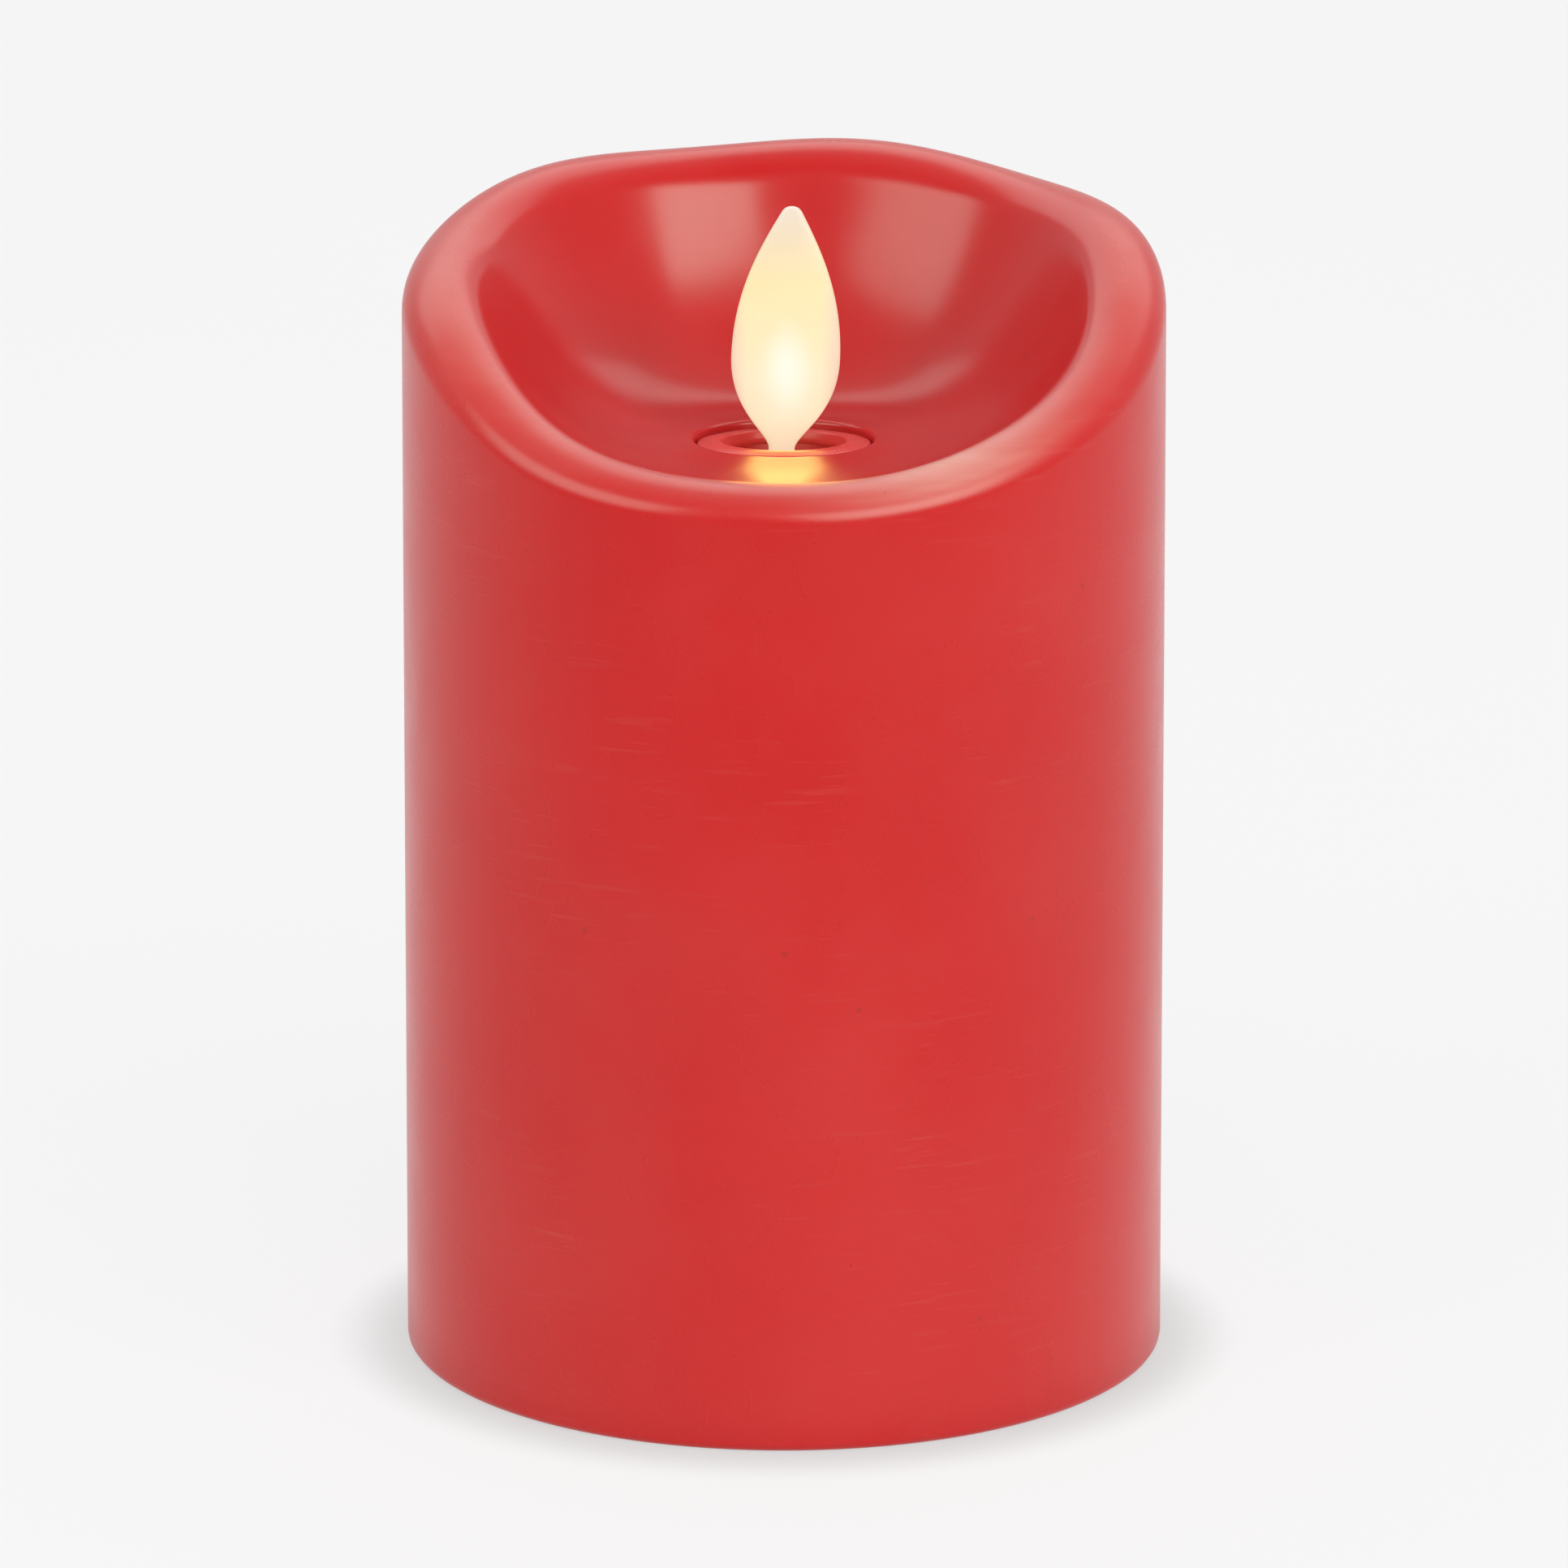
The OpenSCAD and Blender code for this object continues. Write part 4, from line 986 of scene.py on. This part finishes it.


# every other node: the CAD shape, with its corners rounded where a width is given and only smooth shaded
# where the width is 0

softened = {
    # piece's name and the width of its rounded corners
    "base_chassis": ("baseMoulding", 0.25), "battery_door": ("cellDoor", 0.22),
    "switch_knob": ("knobSlider", 0.2),
    "switch_body": ("switchCase", 0.2), "housing_left": ("housingLeft", 0.15),
    "housing_right": ("housingRight", 0.15), "spot_led": ("spotLamp", 0.15), "led_clip": ("lampClip", 0.1),
    "coil_bobbin": ("coilBobbin", 0.12), "control_board": ("circuitBoard", 0.08),
    "board_capacitor": ("boardCapacitor", 0.35), "ir_receiver": ("remoteReceiver", 0.06),
    "flame_magnet": ("discMagnet", 0.2), "cell_contact": ("cellContact", 0.06),
    "bridge_contact": ("bridgeStrip", 0.08), "housing_screws": ("housingScrews", 0.06),
    "module_screws": ("moduleScrews", 0.06), "board_screws": ("boardScrews", 0.06),
    "switch_screws": ("switchScrews", 0.06), "timer_chip": ("timerChip", 0.03),
    "board_resistors": ("boardResistors", 0.05), "switch_pins": ("switchPins", 0.04),
    "glue_beads": ("glueBeads", 0.0), "flame_wire": ("flameWire", 0.0),
    "led_leads": ("lampLeads", 0.0), "coil_leads": ("coilLeads", 0.0), "switch_leads": ("switchLeads", 0.0),
    "battery_lead_red": ("cellLeadRed", 0.0), "battery_lead_black": ("cellLeadBlack", 0.0),
}

# corners turn more than this, flat faces less; degrees, and metres for the seams
soften = {"corner": 30, "flat": 1.0, "seam": 2e-6, "segments": 2, "smooth": 40}

screwSteel = metalFinish("zincScrew", (0.62, 0.62, 0.63), 0.3, (900.0, 900.0, 900.0), 0.35)
redBase = plasticFinish("redBase", (0.36, 0.012, 0.014), rough=0.42, grain=0.02, wear=0.3)
redShell = plasticFinish("redShell", (0.4, 0.012, 0.012), rough=0.4)
blackPart = plasticFinish("blackPart", (0.018, 0.018, 0.02), rough=0.35, paleness=2.0)
finishes = {
    "base_chassis": redBase, "battery_door": redBase,
    "switch_knob": plasticFinish("knobBlack", (0.022, 0.022, 0.024), rough=0.38, paleness=3.0),
    "switch_body": plasticFinish("switchGrey", (0.09, 0.09, 0.1), rough=0.4),
    "housing_left": redShell, "housing_right": redShell,
    "spot_led": lampFinish("warmLamp"),
    "led_clip": plasticFinish("clipGrey", (0.16, 0.16, 0.17)),
    "coil_bobbin": plasticFinish("bobbinWhite", (0.82, 0.81, 0.78), rough=0.5, sub=0.2),
    "control_board": boardFinish("greenBoard"),
    "board_capacitor": plasticFinish("capacitorSleeve", (0.015, 0.02, 0.09), rough=0.25),
    "ir_receiver": plasticFinish("receiverDark", (0.03, 0.018, 0.02), rough=0.18),
    "flame_magnet": metalFinish("platedMagnet", (0.74, 0.74, 0.75), 0.16, (700.0, 700.0, 700.0), 0.15),
    "flame_wire": metalFinish("drawnWire", (0.7, 0.7, 0.7), 0.25, (3000.0, 60.0, 3000.0)),
    "cell_contact": nickel, "bridge_contact": nickel, "switch_pins": nickel,
    "housing_screws": screwSteel, "module_screws": screwSteel, "board_screws": screwSteel,
    "switch_screws": screwSteel, "timer_chip": blackPart, "board_resistors": blackPart,
    "glue_beads": plasticFinish("amberGlue", (0.72, 0.6, 0.36), rough=0.25, sub=0.4),
    "led_leads": plasticFinish("yellowLead", (0.62, 0.42, 0.05), rough=0.35),
    "coil_leads": metalFinish("copperLead", (0.74, 0.3, 0.12), 0.3),
    "switch_leads": plasticFinish("ivoryLead", (0.74, 0.7, 0.58), rough=0.35),
    "battery_lead_red": plasticFinish("redLead", (0.55, 0.015, 0.015), rough=0.32),
    "battery_lead_black": plasticFinish("blackLead", (0.015, 0.015, 0.016), rough=0.32),
}


def makeSoftened(node, piece, width):
    bm = bmesh.new()
    bm.from_mesh(nodes[node].data)
    bmesh.ops.remove_doubles(bm, verts=bm.verts[:], dist=soften["seam"])
    bmesh.ops.dissolve_limit(bm, angle_limit=math.radians(soften["flat"]), use_dissolve_boundaries=False,
                             verts=bm.verts[:], edges=bm.edges[:])
    if width > 0:
        corners = [edge for edge in bm.edges if len(edge.link_faces) == 2
                   and edge.calc_face_angle(0.0) > math.radians(soften["corner"])]
        bmesh.ops.bevel(bm, geom=corners, offset=width * mm, segments=soften["segments"], profile=0.5,
                        affect="EDGES", material=-1, clamp_overlap=True)
    return finishPiece(bm, piece, [node], finishes[node], soften["smooth"], outward=False)


for node, (piece, width) in softened.items():
    makeSoftened(node, piece, width)
makeSpring("cell_spring", "cellSpring", "battery_right", 2.6, 4.8, 5.6, nickel)
makeSpring("bridge_spring", "bridgeSpring", "battery_left", 4.8, 2.6, 0, nickel)
print("inner pieces rounded")


# floor, lights and camera

studio = {
    "floorSize": 6.0, "floorGap": 0.02 * mm, "floorColour": (0.12, 0.12, 0.12),
    "floorPale": (0.28, 0.28, 0.28), "floorPatch": 3.0, "floorPatches": 0.05,
    "floorRough": 0.9, "floorShine": 0.1,
    "floorGlow": 0.785,                 # added to the light that falls on the floor
    "nearR": 37.5 * mm, "farR": 47.0 * mm, "nearGlow": 0.74,   # painted contact shadow: less light gets in close to the foot, so the floor's glow is cut there
    "shadeStart": -0.5, "shadeEnd": 0.0,   # the wax mirrors no bright floor in front of it
    "room": 0.62,                      # how bright the room is
    "mirroredFront": 0.1, "mirroredBack": 0.75,   # and how bright the wax mirrors it
    "frontEnds": -0.6, "backStarts": 0.4,          # the mirrored room brightens between these
    "aimZ": 0.08,                      # the panels face this height of the candle
    # azimuth from the camera to the right, elevation, distance, width, height, radiance
    "shines": (
        (34, 32, 1.6, 1.25, 0.85, 6.6),
        (-58, 32, 1.6, 1.2, 0.85, 4.3),
        (180, 52, 1.5, 2.6, 0.8, 1.5),
    ),
    "fills": (
        (50, 28, 1.8, 0.9, 0.7, 4.6),
        (5, 45, 1.5, 0.8, 0.8, 3.1),
        (-45, 36, 1.6, 0.6, 0.9, 2.1),
        (180, 45, 1.8, 2.4, 1.0, 0.4),
    ),
}


def makeFloor():
    bm = bmesh.new()
    bmesh.ops.create_grid(bm, x_segments=2, y_segments=2, size=studio["floorSize"] / 2)
    bmesh.ops.translate(bm, vec=(0, 0, -studio["floorGap"]), verts=bm.verts[:])
    mesh = bpy.data.meshes.new("floor")
    bm.to_mesh(mesh)
    bm.free()
    floor = bpy.data.objects.new("floor", mesh)
    bpy.context.scene.collection.objects.link(floor)
    material, tree, shader = newMaterial("paleFloor")
    place = objectPlace(tree)
    patches = noiseNode(tree, place, studio["floorPatch"], detail=2.0)
    shade = spread(tree, patches, 0.0, studio["floorPatches"])
    colours = (*studio["floorColour"], 1), (*studio["floorPale"], 1)
    behind = mapRange(tree, partOf(tree, place, "Y"), studio["shadeStart"], studio["shadeEnd"], smooth=True)
    shown = mathNode(tree, "MAXIMUM", behind, mathNode(tree, "SUBTRACT", 1.0, glossyRay(tree)))
    # painted contact shadow round the foot
    contactShade = mapRange(tree, lengthOf(tree, place), studio["nearR"], studio["farR"], studio["nearGlow"], 1.0,
                       smooth=True)
    feed(shader, {"Base Color": mixColour(tree, shade, *colours),
                  "Emission Strength": times(tree, times(tree, shown, contactShade), studio["floorGlow"]),
                  "Emission Color": (1, 1, 1, 1), "Roughness": studio["floorRough"],
                  "Specular IOR Level": studio["floorShine"]})
    # clear from below, so that the candle's underside can be looked at
    under = addNode(tree, "ShaderNodeNewGeometry").outputs["Backfacing"]
    clear = addNode(tree, "ShaderNodeBsdfTransparent").outputs[0]
    both = addNode(tree, "ShaderNodeMixShader", i0=under, i1=shader.outputs[0], i2=clear)
    feed(tree.nodes["Material Output"], {"Surface": both.outputs[0]})
    mesh.materials.append(material)


def makePanel(name, shape, shines):
    # a soft panel aimed at the candle, either mirrored by it or lighting it
    azimuth, elevation, distance, width, height, radiance = shape
    a = math.radians(azimuth)
    e = math.radians(elevation)
    place = Vector((math.sin(a) * math.cos(e), -math.cos(a) * math.cos(e), math.sin(e))) * distance
    light = bpy.data.lights.new(name, "AREA")
    light.shape = "RECTANGLE"
    light.size = width
    light.size_y = height
    light.energy = radiance * math.pi * width * height  # watts for that radiance
    panel = bpy.data.objects.new(name, light)
    panel.location = place
    panel.visible_glossy = shines
    panel.visible_diffuse = not shines
    aim = Vector((0, 0, studio["aimZ"])) - place
    panel.rotation_euler = aim.to_track_quat("-Z", "Y").to_euler()
    bpy.context.scene.collection.objects.link(panel)


def makeRoom():
    # a pale room whose camera side is dark where the wax mirrors it
    world = bpy.data.worlds.new("paleRoom")
    bpy.context.scene.world = world
    world.use_nodes = True
    tree = world.node_tree
    direction = addNode(tree, "ShaderNodeTexCoord").outputs["Generated"]
    mirrored = mapRange(tree, partOf(tree, direction, "Y"), studio["frontEnds"], studio["backStarts"],
                        studio["mirroredFront"], studio["mirroredBack"], smooth=True)
    feed(tree.nodes["Background"], {"Strength": mixValue(tree, glossyRay(tree), studio["room"], mirrored),
                                    "Color": (1, 1, 1, 1)})


def makeLights():
    makeRoom()
    for i, shape in enumerate(studio["shines"]):
        makePanel("shine%d" % i, shape, True)
    for i, shape in enumerate(studio["fills"]):
        makePanel("fill%d" % i, shape, False)


camera = {"distance": 0.77679, "height": 0.25799, "pitch": 14.50, "lens": 184.83, "sensor": 36}


def makeCamera():
    data = bpy.data.cameras.new("camera")
    data.lens = camera["lens"]
    data.sensor_width = camera["sensor"]
    view = bpy.data.objects.new("camera", data)
    view.location = (0, -camera["distance"], camera["height"])
    view.rotation_euler = (math.radians(90 - camera["pitch"]), 0, 0)
    bpy.context.scene.collection.objects.link(view)
    bpy.context.scene.camera = view


makeFloor()
makeLights()
makeCamera()
bpy.context.scene.view_settings.view_transform = "Standard"
bpy.context.scene.view_settings.look = "None"
print("studio ready")
